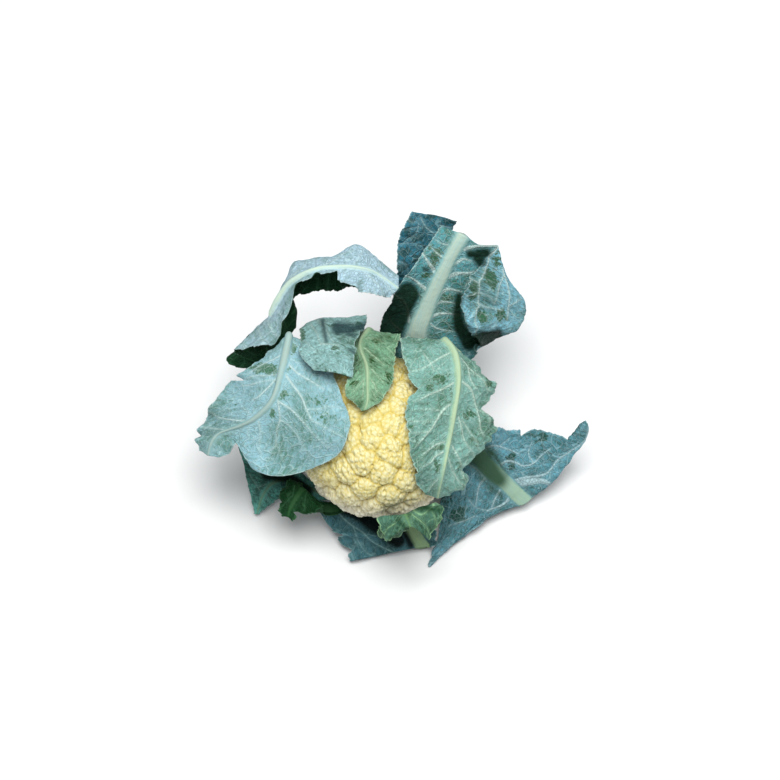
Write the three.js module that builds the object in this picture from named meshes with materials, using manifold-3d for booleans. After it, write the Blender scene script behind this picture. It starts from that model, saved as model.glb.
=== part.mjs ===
// A cauliflower as cut and trimmed for market: a creamy yellow head of florets on its stump,
// wrapped in fifteen leaves. Four inner leaves are bent over the head to shade it, the others
// spread or stand round it, and several outer ones are cut across with their stalk ends bare.
// Millimetres, +Z up. The origin is the middle of the stump's cut face, on the table.
import * as THREE from "three";
import { mergeVertices } from "three/addons/utils/BufferGeometryUtils.js";
import Module from "manifold-3d";

const wasm = await Module();
wasm.setup();

// Driving dimensions of the head and the stump
const HEAD_RADIUS = 84; // to the tops of the florets, half the head's width
const HEAD_MIDDLE = 98; // height of the head's widest level over the table
const HEAD_UNDERSIDE = 46; // from that level down to where the head meets the stump
const STUMP_RADIUS = 25;
const GAP = 0.3; // between pieces that touch

// Florets on the head
const FLORETS = 112;
const FLORET_SPREAD = 2.3; // radians from the crown to the last floret
const FLORET_CROWDING = 0.74; // 0.5 spaces them evenly, more crowds them at the crown
const FLORET_RISE = 9; // how far a floret bulges out of the head
const BUDS_PER_FLORET = 4;
const BUD_RISE = 3;
const HEAD_DETAIL = 17; // subdivisions of each icosahedron edge, less one

// Leaves
const BLADE_THICKNESS = 1.1;
const RIB_LINE = 1; // which of a row's points lies on the rib
const RIB_EDGE = 0.18; // column that marks the side of the rib
const LEFT_COLUMNS = [-1, -0.72, -0.42, -RIB_EDGE, 0, RIB_EDGE]; // shares of the half blade
const RIGHT_COLUMNS = { 3: [0.42, 0.72, 1], 4: [0.5, 0.75, 1], 5: [1 / 3, 0.5, 2 / 3, 0.83, 1] };
const LEAN = Math.PI / 3; // the leaf points lie in a frame leaning back to face a viewer 60 degrees up
const GOLDEN_ANGLE = Math.PI * (3 - Math.sqrt(5));

// Each leaf: the compass angle where its stalk leaves the stump, the stalk as rows of
// [radius, height, half width], the rib's half width and depth at the root and at the end, the wave of its
// edge as [height, count, phase], and the blade as rows from its foot to its end. A row runs from the left
// edge over the rib, its second point, to the right edge, in mm across, up and out towards the viewer from
// the middle of the head. Bites out of an edge: [side, row, length in rows, depth as a share of the half].
const LEAVES = {
  mantle_left: {
    angle: 152,
    stalk: [[20, 46, 8], [60, 44, 10], [95, 76, 9], [105, 128, 14]],
    rib: [7, 7, 1.2, 1],
    wave: [3, 5, 0.3],
    blade: [
      [[-112, 78, 20], [-92, 88, 34], [-66, 84, 22]],
      [[-114, 84, 38], [-90, 99, 48], [-56, 84, 30]],
      [[-134, 66, 36], [-96, 68, 57], [-41, 52, 62]],
      [[-153, 54, 26], [-105, 38, 59], [-29, 14, 84]],
      [[-164, 36, 18], [-122, 20, 50], [-42, -18, 78]],
      [[-176, 20, 10], [-137, 12, 41], [-90, -38, 50]],
      [[-181, 8, 8], [-148, 8, 34], [-127, -31, 38]],
      [[-183, 2, 8], [-160, 3, 29], [-139, -6, 34]],
      [[-183, -4, 10], [-167, -5, 26], [-150, -17, 30]],
      [[-182, -12, 14], [-171, -18, 20], [-159, -20, 26]],
    ],
    bites: [[-1, 6.6, 0.22, 0.2]],
  },
  mantle_back: {
    angle: 119,
    stalk: [[20, 35, 8], [60, 38, 10], [97, 70, 9], [112, 125, 16]],
    rib: [6, 6, 1.2, 1],
    wave: [2.5, 4, 0.1],
    blade: [
      [[-80, 104, 0], [-60, 112, -2], [-24, 114, 2]],
      [[-80, 109, 20], [-58, 118, 18], [-12, 120, 20]],
      [[-80, 95, 52], [-57, 99, 54], [-18, 103, 52]],
      [[-79, 80, 66], [-50, 80, 73], [-23, 82, 73]],
      [[-66, 67, 74], [-44, 64, 79], [-26, 60, 80]],
    ],
    bites: [[1, 5.9, 0.45, 0.4]],
  },
  mantle_centre: {
    angle: 88,
    stalk: [[20, 47, 7], [56, 47, 9], [90, 78, 7], [98, 120, 11]],
    rib: [5, 5, 1, 0.8],
    wave: [2, 5, 0.6],
    blade: [
      [[-32, 97, -4], [-4, 101, -2], [20, 97, 2]],
      [[-36, 103, 12], [-12, 106, 18], [22, 104, 20]],
      [[-28, 90, 40], [-20, 91, 42], [18, 88, 46]],
      [[-30, 68, 62], [-13, 70, 65], [15, 66, 66]],
      [[-36, 46, 76], [-12, 50, 77], [13, 52, 78]],
      [[-28, 35, 84], [-12, 36, 86], [3, 37, 86]],
      [[-20, 27, 87], [-15, 27, 88], [-10, 29, 88]],
    ],
  },
  mantle_right: {
    angle: 40,
    stalk: [[20, 46, 8], [60, 44, 10], [95, 76, 9], [105, 128, 14]],
    rib: [7, 7, 1.2, 1],
    wave: [3, 6, 0],
    blade: [
      [[50, 92, 10], [72, 87, 10], [94, 74, 4]],
      [[22, 103, 30], [64, 95, 36], [90, 76, 26]],
      [[20, 85, 54], [74, 82, 52], [102, 66, 32]],
      [[28, 58, 72], [77, 56, 60], [118, 50, 26]],
      [[26, 26, 86], [73, 26, 61], [110, 27, 30]],
      [[28, -6, 88], [68, -2, 58], [119, 4, 22]],
      [[34, -33, 80], [63, -28, 57], [96, -20, 28]],
      [[36, -46, 68], [59, -48, 46], [87, -48, 22]],
      [[46, -57, 48], [57, -60, 32], [72, -60, 22]],
    ],
    bites: [[1, 8, 0.35, 0.14], [1, 10.4, 0.3, 0.2], [-1, 7.3, 0.3, 0.16]],
  },
  arch_left: {
    angle: 137,
    stalk: [[20, 22, 8], [68, 24, 10], [108, 52, 10], [124, 100, 16]],
    rib: [8, 8, 1.2, 1],
    wave: [2, 7, 0.2],
    blade: [
      [[-148, 84, 10], [-118, 106, 8], [-128, 101, -10], [-151, 80, -24]],
      [[-132, 89, 28], [-108, 118, 18], [-110, 121, -2], [-134, 66, -24]],
      [[-106, 92, 38], [-101, 134, 26], [-102, 138, 4], [-98, 84, -28]],
      [[-95, 118, 44], [-92, 148, 34], [-94, 156, 8], [-86, 112, -28]],
      [[-86, 142, 50], [-82, 157, 40], [-86, 175, 14], [-91, 137, -18]],
      [[-68, 160, 54], [-64, 165, 46], [-66, 178, 20], [-66, 144, -12]],
      [[-48, 159, 56], [-44, 168, 46], [-46, 180, 20], [-44, 148, -10]],
      [[-28, 149, 54], [-24, 168, 43], [-24, 192, 18], [-20, 147, -8]],
      [[-8, 141, 46], [-5, 163, 36], [-7, 182, 16], [-3, 141, -2]],
      [[9, 137, 34], [18, 148, 28], [18, 160, 18], [14, 141, 8]],
    ],
    bites: [[-1, 10.1, 0.25, 0.5]],
  },
  fan_back: {
    angle: 62,
    stalk: [[20, 22, 9], [66, 22, 11], [98, 48, 12]],
    rib: [15, 7.5, 9, 6],
    wave: [2.5, 4, 0.5],
    blade: [
      [[8, 84, -58], [37, 88, -50], [66, 78, -58], [86, 76, -60], [96, 82, -50]],
      [[-2, 110, -28], [38, 108, -30], [80, 94, -46], [112, 96, -44], [97, 98, 0]],
      [[10, 137, -6], [48, 134, -18], [92, 118, -32], [136, 106, -30], [85, 113, 14]],
      [[23, 160, 2], [60, 160, -8], [100, 142, -20], [148, 130, -14], [81, 138, 26]],
      [[43, 187, 6], [72, 184, 0], [104, 172, -8], [130, 158, 0], [91, 158, 28]],
      [[60, 211, 4], [83, 202, 6], [100, 192, 0], [117, 190, 8], [103, 177, 20]],
    ],
  },
  tall_back: {
    angle: 80,
    stalk: [[20, 11, 8], [70, 14, 10], [112, 36, 12]],
    rib: [8, 7, 2, 1.4],
    wave: [3, 4, 0.8],
    blade: [
      [[8, 94, -84], [30, 92, -86], [56, 90, -88]],
      [[14, 130, -56], [37, 129, -60], [68, 126, -70]],
      [[15, 163, -38], [43, 164, -42], [78, 160, -54]],
      [[18, 202, -22], [49, 196, -30], [73, 196, -38]],
      [[30, 226, -14], [54, 223, -22], [78, 218, -26]],
    ],
  },
  spread_right: {
    angle: -8,
    stalk: [[20, 22, 9], [62, 30, 11]],
    rib: [9, 8, 8, 7],
    wave: [3.5, 4, 0.4],
    blade: [
      [[110, 8, -26], [95, -18, -40], [60, -72, -46]],
      [[130, 9, -38], [106, -28, -43], [58, -100, -46]],
      [[158, 8, -46], [118, -39, -47], [56, -116, -42]],
      [[180, 4, -50], [127, -47, -51], [50, -124, -38]],
      [[201, -5, -48], [131, -51, -53], [48, -133, -38]],
      [[210, 15, -40], [136, -56, -55], [62, -118, -40]],
      [[208, -5, -46], [140, -60, -57], [82, -101, -46]],
      [[172, -43, -58], [148, -67, -59], [132, -71, -56]],
    ],
    bites: [[-1, 3.65, 0.25, 0.14]],
  },
  front_cut: {
    angle: -66,
    stalk: [[20, 10, 8], [46, 14, 10]],
    rib: [9, 8, 8, 7],
    wave: [2.5, 3, 0.2],
    blade: [
      [[48, -84, -36], [27, -88, -47], [-66, -64, -46]],
      [[56, -93, -30], [33, -97, -43], [-50, -92, -36]],
      [[60, -103, -30], [38, -104, -40], [-43, -105, -36]],
      [[54, -112, -32], [43, -111, -37], [-32, -126, -34]],
    ],
    bites: [[1, 3.5, 0.3, 0.09], [1, 4.5, 0.3, 0.09]],
  },
  front_curl: {
    angle: -84,
    stalk: [[20, 35, 7], [56, 36, 8], [88, 50, 7]],
    rib: [4, 4, 0.8, 0.6],
    wave: [2, 4, 0.1],
    blade: [
      [[26, -94, 18], [10, -94, 24], [-4, -94, 22]],
      [[44, -74, 44], [18, -80, 44], [0, -80, 42]],
      [[66, -65, 46], [24, -76, 55], [-4, -82, 50]],
      [[62, -84, 52], [27, -80, 61], [-1, -97, 52]],
      [[50, -102, 54], [30, -88, 64], [4, -104, 54]],
    ],
  },
  left_low: {
    angle: 193,
    stalk: [[20, 9, 8], [62, 9, 10]],
    rib: [4, 3, 1, 0.8],
    wave: [2.5, 3, 0.7],
    blade: [
      [[-78, -62, -62], [-84, -46, -66], [-92, -28, -64]],
      [[-95, -54, -52], [-106, -46, -60], [-142, -6, -54]],
      [[-103, -66, -56], [-118, -58, -58], [-137, -36, -58]],
      [[-122, -79, -60], [-125, -79, -60], [-129, -78, -60]],
    ],
  },
  lobed_left: {
    angle: -133,
    stalk: [[20, 24, 7], [60, 34, 8]],
    rib: [7, 6, 1, 0.8],
    wave: [2, 5, 0.4],
    blade: [
      [[-54, -80, -29], [-66, -72, -30], [-76, -60, -30]],
      [[-56, -72, -14], [-72, -60, -14], [-82, -46, -18]],
      [[-56, -72, -2], [-76, -52, -4], [-92, -44, -10]],
      [[-62, -76, 4], [-82, -58, 3], [-99, -52, -6]],
      [[-74, -80, 6], [-89, -70, 4], [-102, -66, -4]],
      [[-86, -86, 2], [-92, -80, 2], [-101, -80, -4]],
    ],
    bites: [[-1, 6.2, 0.5, 0.5]],
  },
  cut_left: {
    angle: 167,
    stalk: [[20, 35, 8], [64, 26, 10]],
    rib: [9, 8, 8, 7],
    wave: [3, 2, 0.2],
    blade: [
      [[-92, -36, -58], [-92, -10, -66], [-84, 16, -72]],
      [[-108, -34, -48], [-112, -4, -60], [-104, 34, -60]],
      [[-120, -28, -44], [-128, 1, -58], [-120, 44, -56]],
    ],
  },
  cut_back: {
    angle: 122,
    stalk: [[20, 11, 7], [64, 14, 9]],
    rib: [9, 8, 8, 7],
    wave: [3, 2, 0.6],
    blade: [
      [[-62, 24, -96], [-44, 38, -102], [-14, 40, -104]],
      [[-78, 40, -96], [-54, 62, -98], [-8, 66, -98]],
      [[-84, 56, -96], [-60, 82, -94], [-8, 84, -90]],
    ],
  },
  cut_right: {
    angle: 22,
    stalk: [[20, 11, 8], [64, 14, 10]],
    rib: [9, 8, 8, 7],
    wave: [3, 2, 0.9],
    blade: [
      [[66, 12, -92], [84, -12, -80], [86, -34, -72]],
      [[80, 34, -86], [102, -2, -82], [116, -32, -72]],
      [[90, 46, -82], [116, 6, -82], [130, -20, -74]],
    ],
  },
};

// A leaf point, given across, up and out, as a place over the table
function place([across, up, out]) {
  const y = up * Math.sin(LEAN) - out * Math.cos(LEAN);
  const z = up * Math.cos(LEAN) + out * Math.sin(LEAN);
  return new THREE.Vector3(across, y, HEAD_MIDDLE + z);
}

// The rows of a leaf's stalk, from inside the stump outwards; its edges lift a little, as a gutter does
function stalkRows(leaf, columns) {
  const angle = THREE.MathUtils.degToRad(leaf.angle);
  const outward = new THREE.Vector3(Math.cos(angle), Math.sin(angle), 0);
  const leftward = new THREE.Vector3(-Math.sin(angle), Math.cos(angle), 0);
  return leaf.stalk.map(([radius, height, halfWidth]) => {
    const rib = outward.clone().multiplyScalar(radius).setZ(height);
    return Array.from({ length: columns }, (_, k) => {
      const side = k < RIB_LINE ? 1 : -(k - RIB_LINE) / (columns - 1 - RIB_LINE);
      return rib.clone().addScaledVector(leftward, side * halfWidth);
    });
  });
}

// A smooth curve through the points: the usual Catmull-Rom cubic, with t counted in points
function through(points, t) {
  const last = points.length - 1;
  const i = Math.min(Math.max(Math.floor(t), 0), last - 1);
  const s = t - i;
  const p1 = points[i];
  const p2 = points[i + 1];
  const p0 = i > 0 ? points[i - 1] : p1.clone().multiplyScalar(2).sub(p2);
  const p3 = i + 2 <= last ? points[i + 2] : p2.clone().multiplyScalar(2).sub(p1);
  const a = p1.clone().multiplyScalar(2);
  const b = p2.clone().sub(p0);
  const c = p0.clone().multiplyScalar(2).addScaledVector(p1, -5).addScaledVector(p2, 4).sub(p3);
  const d = p1.clone().multiplyScalar(3).sub(p0).addScaledVector(p2, -3).add(p3);
  return a.addScaledVector(b, s).addScaledVector(c, s * s).addScaledVector(d, s * s * s)
    .multiplyScalar(0.5);
}

// A bump of height 1 at the middle, falling smoothly to 0 at a distance of 1
function bump(x) {
  return Math.abs(x) < 1 ? (1 + Math.cos(Math.PI * x)) / 2 : 0;
}

// The middle surface of a leaf: row t along it, share f from the rib to the left (-1) or right (1) edge
function leafSurface(leaf) {
  const columns = leaf.blade[0].length;
  const rows = [...stalkRows(leaf, columns), ...leaf.blade.map((row) => row.map(place))];
  const lines = Array.from({ length: columns }, (_, k) => rows.map((row) => row[k]));
  const footRow = leaf.stalk.length - 0.5;
  const lastRow = rows.length - 1;
  const STEPS = 6;
  const across = (t) => {
    const guide = lines.map((line) => through(line, t));
    const dense = Array.from({ length: (columns - 1) * STEPS + 1 }, (_, k) => through(guide, k / STEPS));
    const reach = [0];
    for (let k = 1; k < dense.length; k++) {
      reach.push(reach[k - 1] + dense[k].distanceTo(dense[k - 1]));
    }
    return { dense, reach };
  };
  const trim = (t, side) =>
    (leaf.bites ?? []).reduce(
      (share, [biteSide, row, length, depth]) =>
        biteSide === side ? share - depth * bump((t - row) / length) : share, 1);
  const smooth = (t, f) => {
    const { dense, reach } = across(t);
    const left = RIB_LINE * (1 + f * trim(t, -1));
    const right = RIB_LINE + f * trim(t, 1) * (columns - 1 - RIB_LINE);
    const g = f < 0 ? left : right;
    const from = Math.min(Math.max(Math.floor(g), 0), columns - 2) * STEPS;
    const target = THREE.MathUtils.lerp(reach[from], reach[from + STEPS], g - from / STEPS);
    let k = from + 1;
    while (k < from + STEPS && reach[k] < target) {
      k++;
    }
    const s = (target - reach[k - 1]) / (reach[k] - reach[k - 1]);
    return dense[k - 1].clone().lerp(dense[k], s);
  };
  const normal = (t, f) => {
    const e = 0.02;
    const along = smooth(Math.min(t + e, lastRow), f).sub(smooth(Math.max(t - e, 0), f));
    const leftward = smooth(t, Math.max(f - e * 4, -1)).sub(smooth(t, Math.min(f + e * 4, 1)));
    return along.cross(leftward).normalize();
  };
  const besideRib = (t, side) => {
    const { reach } = across(t);
    const line = (RIB_LINE + side) * STEPS;
    const share = side < 0 ? RIB_LINE : 1 / (columns - 1 - RIB_LINE);
    return Math.abs(reach[line] - reach[RIB_LINE * STEPS]) / share;
  };
  const [height, count, phase] = leaf.wave;
  const wave = (t, f) => {
    const s = Math.min(Math.max((t - footRow) / (lastRow - footRow), 0), 1);
    const turn = 2 * Math.PI * (count * s + phase + (f > 0 ? 0.37 : 0));
    return height * Math.min(1, 4 * s) * Math.abs(f) ** 2 * Math.sin(turn);
  };
  return { smooth, normal, besideRib, wave, footRow, lastRow, columns };
}

// Row positions for a leaf's mesh: evenly spaced, with more where a bite begins, deepens and ends
function meshRows(surface, leaf) {
  const even = Array.from({ length: 2 * surface.lastRow + 1 }, (_, i) => i / 2);
  const bites = leaf.bites ?? [];
  const bitten = bites.flatMap(([, row, length]) => [row - length * 0.6, row, row + length * 0.6]);
  const wanted = bitten.filter((t) => t < surface.lastRow - 0.1);
  const kept = even.filter((t) => wanted.every((b) => Math.abs(b - t) > 0.15));
  return [...kept, ...wanted].sort((a, b) => a - b);
}

// A closed leaf: an upper and a lower grid of points a blade's thickness apart, with the rib standing
// out of the lower face, and a strip all round the edge
function leafSolid(leaf) {
  const surface = leafSurface(leaf);
  const [rootHalf, rootDepth, endHalf, endDepth] = leaf.rib;
  const ribLength = surface.lastRow;
  const rows = meshRows(surface, leaf);
  const shares = [...LEFT_COLUMNS, ...RIGHT_COLUMNS[surface.columns]];
  const columns = shares.length;
  const positions = [];
  const upper = [];
  const lower = [];
  rows.forEach((t) => {
    const share = t / ribLength;
    const ribHalf = THREE.MathUtils.lerp(rootHalf, endHalf, share);
    const ribDepth = THREE.MathUtils.lerp(rootDepth, endDepth, share);
    shares.forEach((column) => {
      const side = column < 0 ? -1 : 1;
      const inner = Math.abs(column) <= RIB_EDGE;
      const widest = side < 0 ? 0.4 : 0.4 / (surface.columns - 2);
      const ribShare = Math.min(ribHalf / surface.besideRib(t, side), widest);
      const f = inner ? (column / RIB_EDGE) * ribShare : column;
      const normal = surface.normal(t, f);
      const middle = surface.smooth(t, f).addScaledVector(normal, surface.wave(t, f));
      const ribShape = column === 0 ? 1 : inner ? 0.3 : 0;
      upper.push(middle.clone().addScaledVector(normal, BLADE_THICKNESS / 2));
      lower.push(middle.addScaledVector(normal, -BLADE_THICKNESS / 2 - ribDepth * ribShape));
    });
  });
  [...upper, ...lower].forEach((point) => positions.push(...point.toArray()));
  const faces = [];
  const at = (i, j) => i * columns + j;
  const below = rows.length * columns;
  for (let i = 0; i < rows.length - 1; i++) {
    for (let j = 0; j < columns - 1; j++) {
      const [a, b, c, d] = [at(i, j), at(i, j + 1), at(i + 1, j + 1), at(i + 1, j)];
      faces.push(a, b, c, a, c, d);
      faces.push(below + a, below + c, below + b, below + a, below + d, below + c);
    }
  }
  const strip = (a, b) => {
    faces.push(a, below + a, below + b, a, below + b, b);
  };
  for (let j = 0; j < columns - 1; j++) {
    strip(at(0, j), at(0, j + 1));
    strip(at(rows.length - 1, j + 1), at(rows.length - 1, j));
  }
  for (let i = 0; i < rows.length - 1; i++) {
    strip(at(i + 1, 0), at(i, 0));
    strip(at(i, columns - 1), at(i + 1, columns - 1));
  }
  return closedSolid(new Float32Array(positions), new Uint32Array(faces));
}

// A solid from points and faces, its faces turned round if they came out facing inwards
function closedSolid(vertProperties, triVerts) {
  const solid = new wasm.Manifold(new wasm.Mesh({ numProp: 3, vertProperties, triVerts }));
  if (solid.volume() > 0) {
    return solid;
  }
  const turned = triVerts.toReversed();
  return new wasm.Manifold(new wasm.Mesh({ numProp: 3, vertProperties, triVerts: turned }));
}

function solidOf(geometry) {
  geometry.deleteAttribute("normal");
  geometry.deleteAttribute("uv");
  const merged = mergeVertices(geometry, 1e-3);
  const { position } = merged.attributes;
  return closedSolid(new Float32Array(position.array), new Uint32Array(merged.index.array));
}

function geometryOf(solid) {
  const { numProp, vertProperties, triVerts, numVert } = solid.getMesh();
  const position = new Float32Array(numVert * 3);
  for (let i = 0; i < numVert; i++) {
    position.set(vertProperties.subarray(i * numProp, i * numProp + 3), i * 3);
  }
  return new THREE.BufferGeometry()
    .setAttribute("position", new THREE.BufferAttribute(position, 3))
    .setIndex(new THREE.BufferAttribute(new Uint32Array(triVerts), 1));
}

// Places spread over the head in a sunflower spiral, crowded at the crown, with each one's own radius
function floretSpiral(count, crowding, spread) {
  return Array.from({ length: count }, (_, k) => {
    const share = (k + 0.4) / count;
    const fall = spread * share ** crowding;
    const turn = k * GOLDEN_ANGLE;
    const step = (spread * crowding * share ** (crowding - 1)) / count;
    const spacing = Math.sqrt(2 * Math.PI * Math.sin(Math.min(fall + 0.05, 2.2)) * step);
    return {
      direction: new THREE.Vector3(
        Math.sin(fall) * Math.cos(turn), Math.sin(fall) * Math.sin(turn), Math.cos(fall)),
      radius: spacing * 0.66,
    };
  });
}

// How far the caps on a sphere rise in a direction: each is a dome over its own place, the highest counts
function capRise(caps, direction) {
  return caps.reduce((rise, cap) => {
    const x = direction.distanceTo(cap.direction) / cap.radius;
    return x < 1 ? Math.max(rise, Math.sqrt(1 - x * x)) : rise;
  }, 0);
}

// The head: a ball with a flattened underside, its florets and their buds raised by formula
function headSolid() {
  const florets = floretSpiral(FLORETS, FLORET_CROWDING, FLORET_SPREAD);
  const buds = floretSpiral(FLORETS * BUDS_PER_FLORET, FLORET_CROWDING * 0.8, FLORET_SPREAD);
  const geometry = new THREE.IcosahedronGeometry(1, HEAD_DETAIL);
  const position = geometry.attributes.position;
  const direction = new THREE.Vector3();
  for (let i = 0; i < position.count; i++) {
    direction.fromBufferAttribute(position, i).normalize();
    const down = Math.max(-direction.z, 1e-3);
    const ball = HEAD_RADIUS - FLORET_RISE - BUD_RISE;
    const flat = HEAD_UNDERSIDE / down;
    const base = 1 / (ball ** -8 + flat ** -8) ** (1 / 8);
    const open = THREE.MathUtils.smoothstep(direction.z, -0.72, -0.5);
    const rise = FLORET_RISE * capRise(florets, direction) + BUD_RISE * capRise(buds, direction);
    const radius = base + open * rise;
    position.setXYZ(i, direction.x * radius, direction.y * radius, HEAD_MIDDLE + direction.z * radius);
  }
  return solidOf(geometry);
}

// The stump: turned round the plant's axis, cut flat below, a little wider where it carries the head
function stumpSolid(grow) {
  const top = HEAD_MIDDLE - HEAD_UNDERSIDE + 0.2 - 2.5;
  const profile = [
    [0, -grow], [STUMP_RADIUS - 1.5 + grow, -grow], [STUMP_RADIUS + grow, 1.5],
    [STUMP_RADIUS + grow, top / 2], [STUMP_RADIUS + 2 + grow, top + grow], [0, top + grow],
  ];
  const geometry = new THREE.LatheGeometry(profile.map(([r, z]) => new THREE.Vector2(r, z)), 32);
  geometry.rotateX(Math.PI / 2);
  return solidOf(geometry);
}

function material(color, roughness) {
  return new THREE.MeshStandardMaterial({ color, roughness, metalness: 0 });
}

const curdMaterial = material(0xe9dc9c, 0.75);
const leafMaterial = material(0x6f9a97, 0.6);
const stumpMaterial = material(0xc9d2a4, 0.6);

const cauliflower = new THREE.Group();

function add(name, solid, finish) {
  const mesh = new THREE.Mesh(geometryOf(solid), finish);
  mesh.name = name;
  cauliflower.add(mesh);
}

const stumpSpace = stumpSolid(GAP);
add("stump", stumpSolid(0), stumpMaterial);
add("head", headSolid(), curdMaterial);
for (const [name, leaf] of Object.entries(LEAVES)) {
  const pieces = leafSolid(leaf).subtract(stumpSpace).decompose();
  pieces.sort((a, b) => b.volume() - a.volume());
  add(`leaf_${name}`, pieces[0], leafMaterial);
}

export default cauliflower;
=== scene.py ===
import itertools
import math

import bpy
import numpy as np
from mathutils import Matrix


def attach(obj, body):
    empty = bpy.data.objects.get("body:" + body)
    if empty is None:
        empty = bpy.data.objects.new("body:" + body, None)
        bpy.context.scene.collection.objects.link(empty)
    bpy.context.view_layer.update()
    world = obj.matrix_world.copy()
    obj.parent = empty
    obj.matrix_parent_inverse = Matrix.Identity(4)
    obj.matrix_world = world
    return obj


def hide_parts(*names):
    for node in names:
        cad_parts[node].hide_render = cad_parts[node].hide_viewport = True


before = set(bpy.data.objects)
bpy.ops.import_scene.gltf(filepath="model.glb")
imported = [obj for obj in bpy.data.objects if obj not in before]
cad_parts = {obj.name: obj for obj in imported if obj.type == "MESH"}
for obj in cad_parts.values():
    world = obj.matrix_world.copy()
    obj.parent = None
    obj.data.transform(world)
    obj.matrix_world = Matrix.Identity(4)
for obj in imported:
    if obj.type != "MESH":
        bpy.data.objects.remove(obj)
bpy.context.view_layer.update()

# The head of florets
# A cauliflower's head is a dome of crowded florets, each made of buds and each bud of beads, grown
# as one piece on the stump. It is creamy yellow and paler low down; its creases are painted a darker
# yellow that is partly its own colour and partly painted shade, browner still at the bottom of the pits.
HEAD_RADIUS = 84.0  # millimetres, as all sizes of pieces are
HEAD_MIDDLE = 98.0  # height of the dome's middle over the table
HEAD_UNDERSIDE = 46.0  # depth of the flat underside below that middle
FLORETS = 112
FLORET_SPREAD = 2.3  # radians from the crown to the last floret
FLORET_CROWDING = 0.74  # 0.5 spaces them evenly, more crowds them at the crown
FLORET_RISE = 9.0
BUD_SIZE = 8.0
BUD_RISE = 3.0
BEAD_SIZE = 3.9
BEAD_RISE = 1.7
FULL_DOME = 0.75  # share of a floret's rise that a closed one at the crown keeps all over
HEAD_GRID = 306
HEAD_REACH = math.radians(150)  # the dome's grid ends this far from the crown
GOLDEN_ANGLE = math.pi * (3 - math.sqrt(5))
STUDIO_LIGHT = 1.5


def tone(red, green, blue):
    """The share of light that a skin gives back to show as this colour, 0 to 255: the colour in
    linear light over STUDIO_LIGHT, which is the studio's light in times what a white card needs."""
    share = np.array([red, green, blue]) / 255
    light = np.where(share < 0.04045, share / 12.92, ((share + 0.055) / 1.055) ** 2.4)
    return (*(float(v) for v in light / STUDIO_LIGHT), 1.0)


class Wire:
    """A value in a finish. Arithmetic on it adds the Math nodes that work it out, | the larger of two."""

    def __init__(self, finish, socket):
        self.finish, self.socket = finish, socket

    def _math(self, operation, *values):
        return self.finish.node("ShaderNodeMath", {"operation": operation}, dict(enumerate(values)))

    def __add__(self, other):
        return self._math("ADD", self, other)

    def __sub__(self, other):
        return self._math("SUBTRACT", self, other)

    def __rsub__(self, other):
        return self._math("SUBTRACT", other, self)

    def __mul__(self, other):
        return self._math("MULTIPLY", self, other)

    def __or__(self, other):
        return self._math("MAXIMUM", self, other)

    def __abs__(self):
        return self._math("ABSOLUTE", self)

    __radd__, __rmul__ = __add__, __mul__


class Finish:
    """One finish of the plant: a material whose nodes are all added by one method."""

    def __init__(self, name, **constants):
        self.material = bpy.data.materials.new(name)
        self.material.use_nodes = True
        self.tree = self.material.node_tree
        self.skin = self.tree.nodes["Principled BSDF"]
        for socket, value in constants.items():
            self.skin.inputs[socket.replace("_", " ")].default_value = value

    def node(self, kind, settings, inputs, out=0):
        """Adds a node: its settings first, then numbers, colours or wires into its sockets."""
        made = self.tree.nodes.new(kind)
        for key, value in settings.items():
            setattr(made, key, value)
        for key, value in inputs.items():
            if isinstance(value, Wire):
                self.tree.links.new(value.socket, made.inputs[key])
            else:
                made.inputs[key].default_value = value
        return Wire(self, made.outputs[out])

    def place(self):
        return self.node("ShaderNodeTexCoord", {}, {}, "Object")

    def attribute(self, name):
        return self.node("ShaderNodeAttribute", {"attribute_name": name}, {}, "Fac")

    def noise(self, where, scale, detail=3.0, roughness=0.5, out=0):
        values = {"Vector": where, "Scale": scale, "Detail": detail, "Roughness": roughness}
        return self.node("ShaderNodeTexNoise", {}, values, out)

    def cell_edges(self, where, scale):
        """Distance from the edges of a net of uneven cells, in cells."""
        values = {"Vector": where, "Scale": scale}
        return self.node("ShaderNodeTexVoronoi", {"feature": "DISTANCE_TO_EDGE"}, values, "Distance")

    def step(self, value, low, high):
        """0 below low, 1 above high and smooth between, or the reverse where low is above high."""
        values = {"Value": value, "From Min": low, "From Max": high}
        return self.node("ShaderNodeMapRange", {"interpolation_type": "SMOOTHSTEP"}, values)

    def mix(self, share, first, second):
        return self.node("ShaderNodeMix", {"data_type": "RGBA"}, {0: share, 6: first, 7: second}, 2)

    def vector(self, operation, first, second):
        return self.node("ShaderNodeVectorMath", {"operation": operation}, {0: first, 1: second})

    def feed(self, socket, wire):
        self.tree.links.new(wire.socket, self.skin.inputs[socket])

    def bump(self, height, distance, strength=1.0):
        values = {"Height": height, "Distance": distance, "Strength": strength}
        self.feed("Normal", self.node("ShaderNodeBump", {}, values))


def make_piece(name, points, faces, finish, slot, attributes=(), flat=None):
    """A mesh in place on the plant: points in millimetres, faces as rows of point numbers, attributes
    as a number for each point, and flat as each point's place on the unrolled leaf."""
    mesh = bpy.data.meshes.new(name)
    mesh.from_pydata((points / 1000).tolist(), [], faces)
    mesh.polygons.foreach_set("use_smooth", np.ones(len(mesh.polygons), bool))
    for key, values in dict(attributes).items():
        mesh.attributes.new(key, "FLOAT", "POINT").data.foreach_set("value", values.astype(np.float32))
    if flat is not None:
        corner = np.empty(len(mesh.loops), np.int32)
        mesh.loops.foreach_get("vertex_index", corner)
        layer = mesh.uv_layers.new(name="leaf")
        layer.data.foreach_set("uv", flat[corner].astype(np.float32).ravel())
    mesh.materials.append(finish.material)
    mesh.update()
    piece = bpy.data.objects.new(name, mesh)
    bpy.context.scene.collection.objects.link(piece)
    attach(piece, "root")
    return piece


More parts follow.
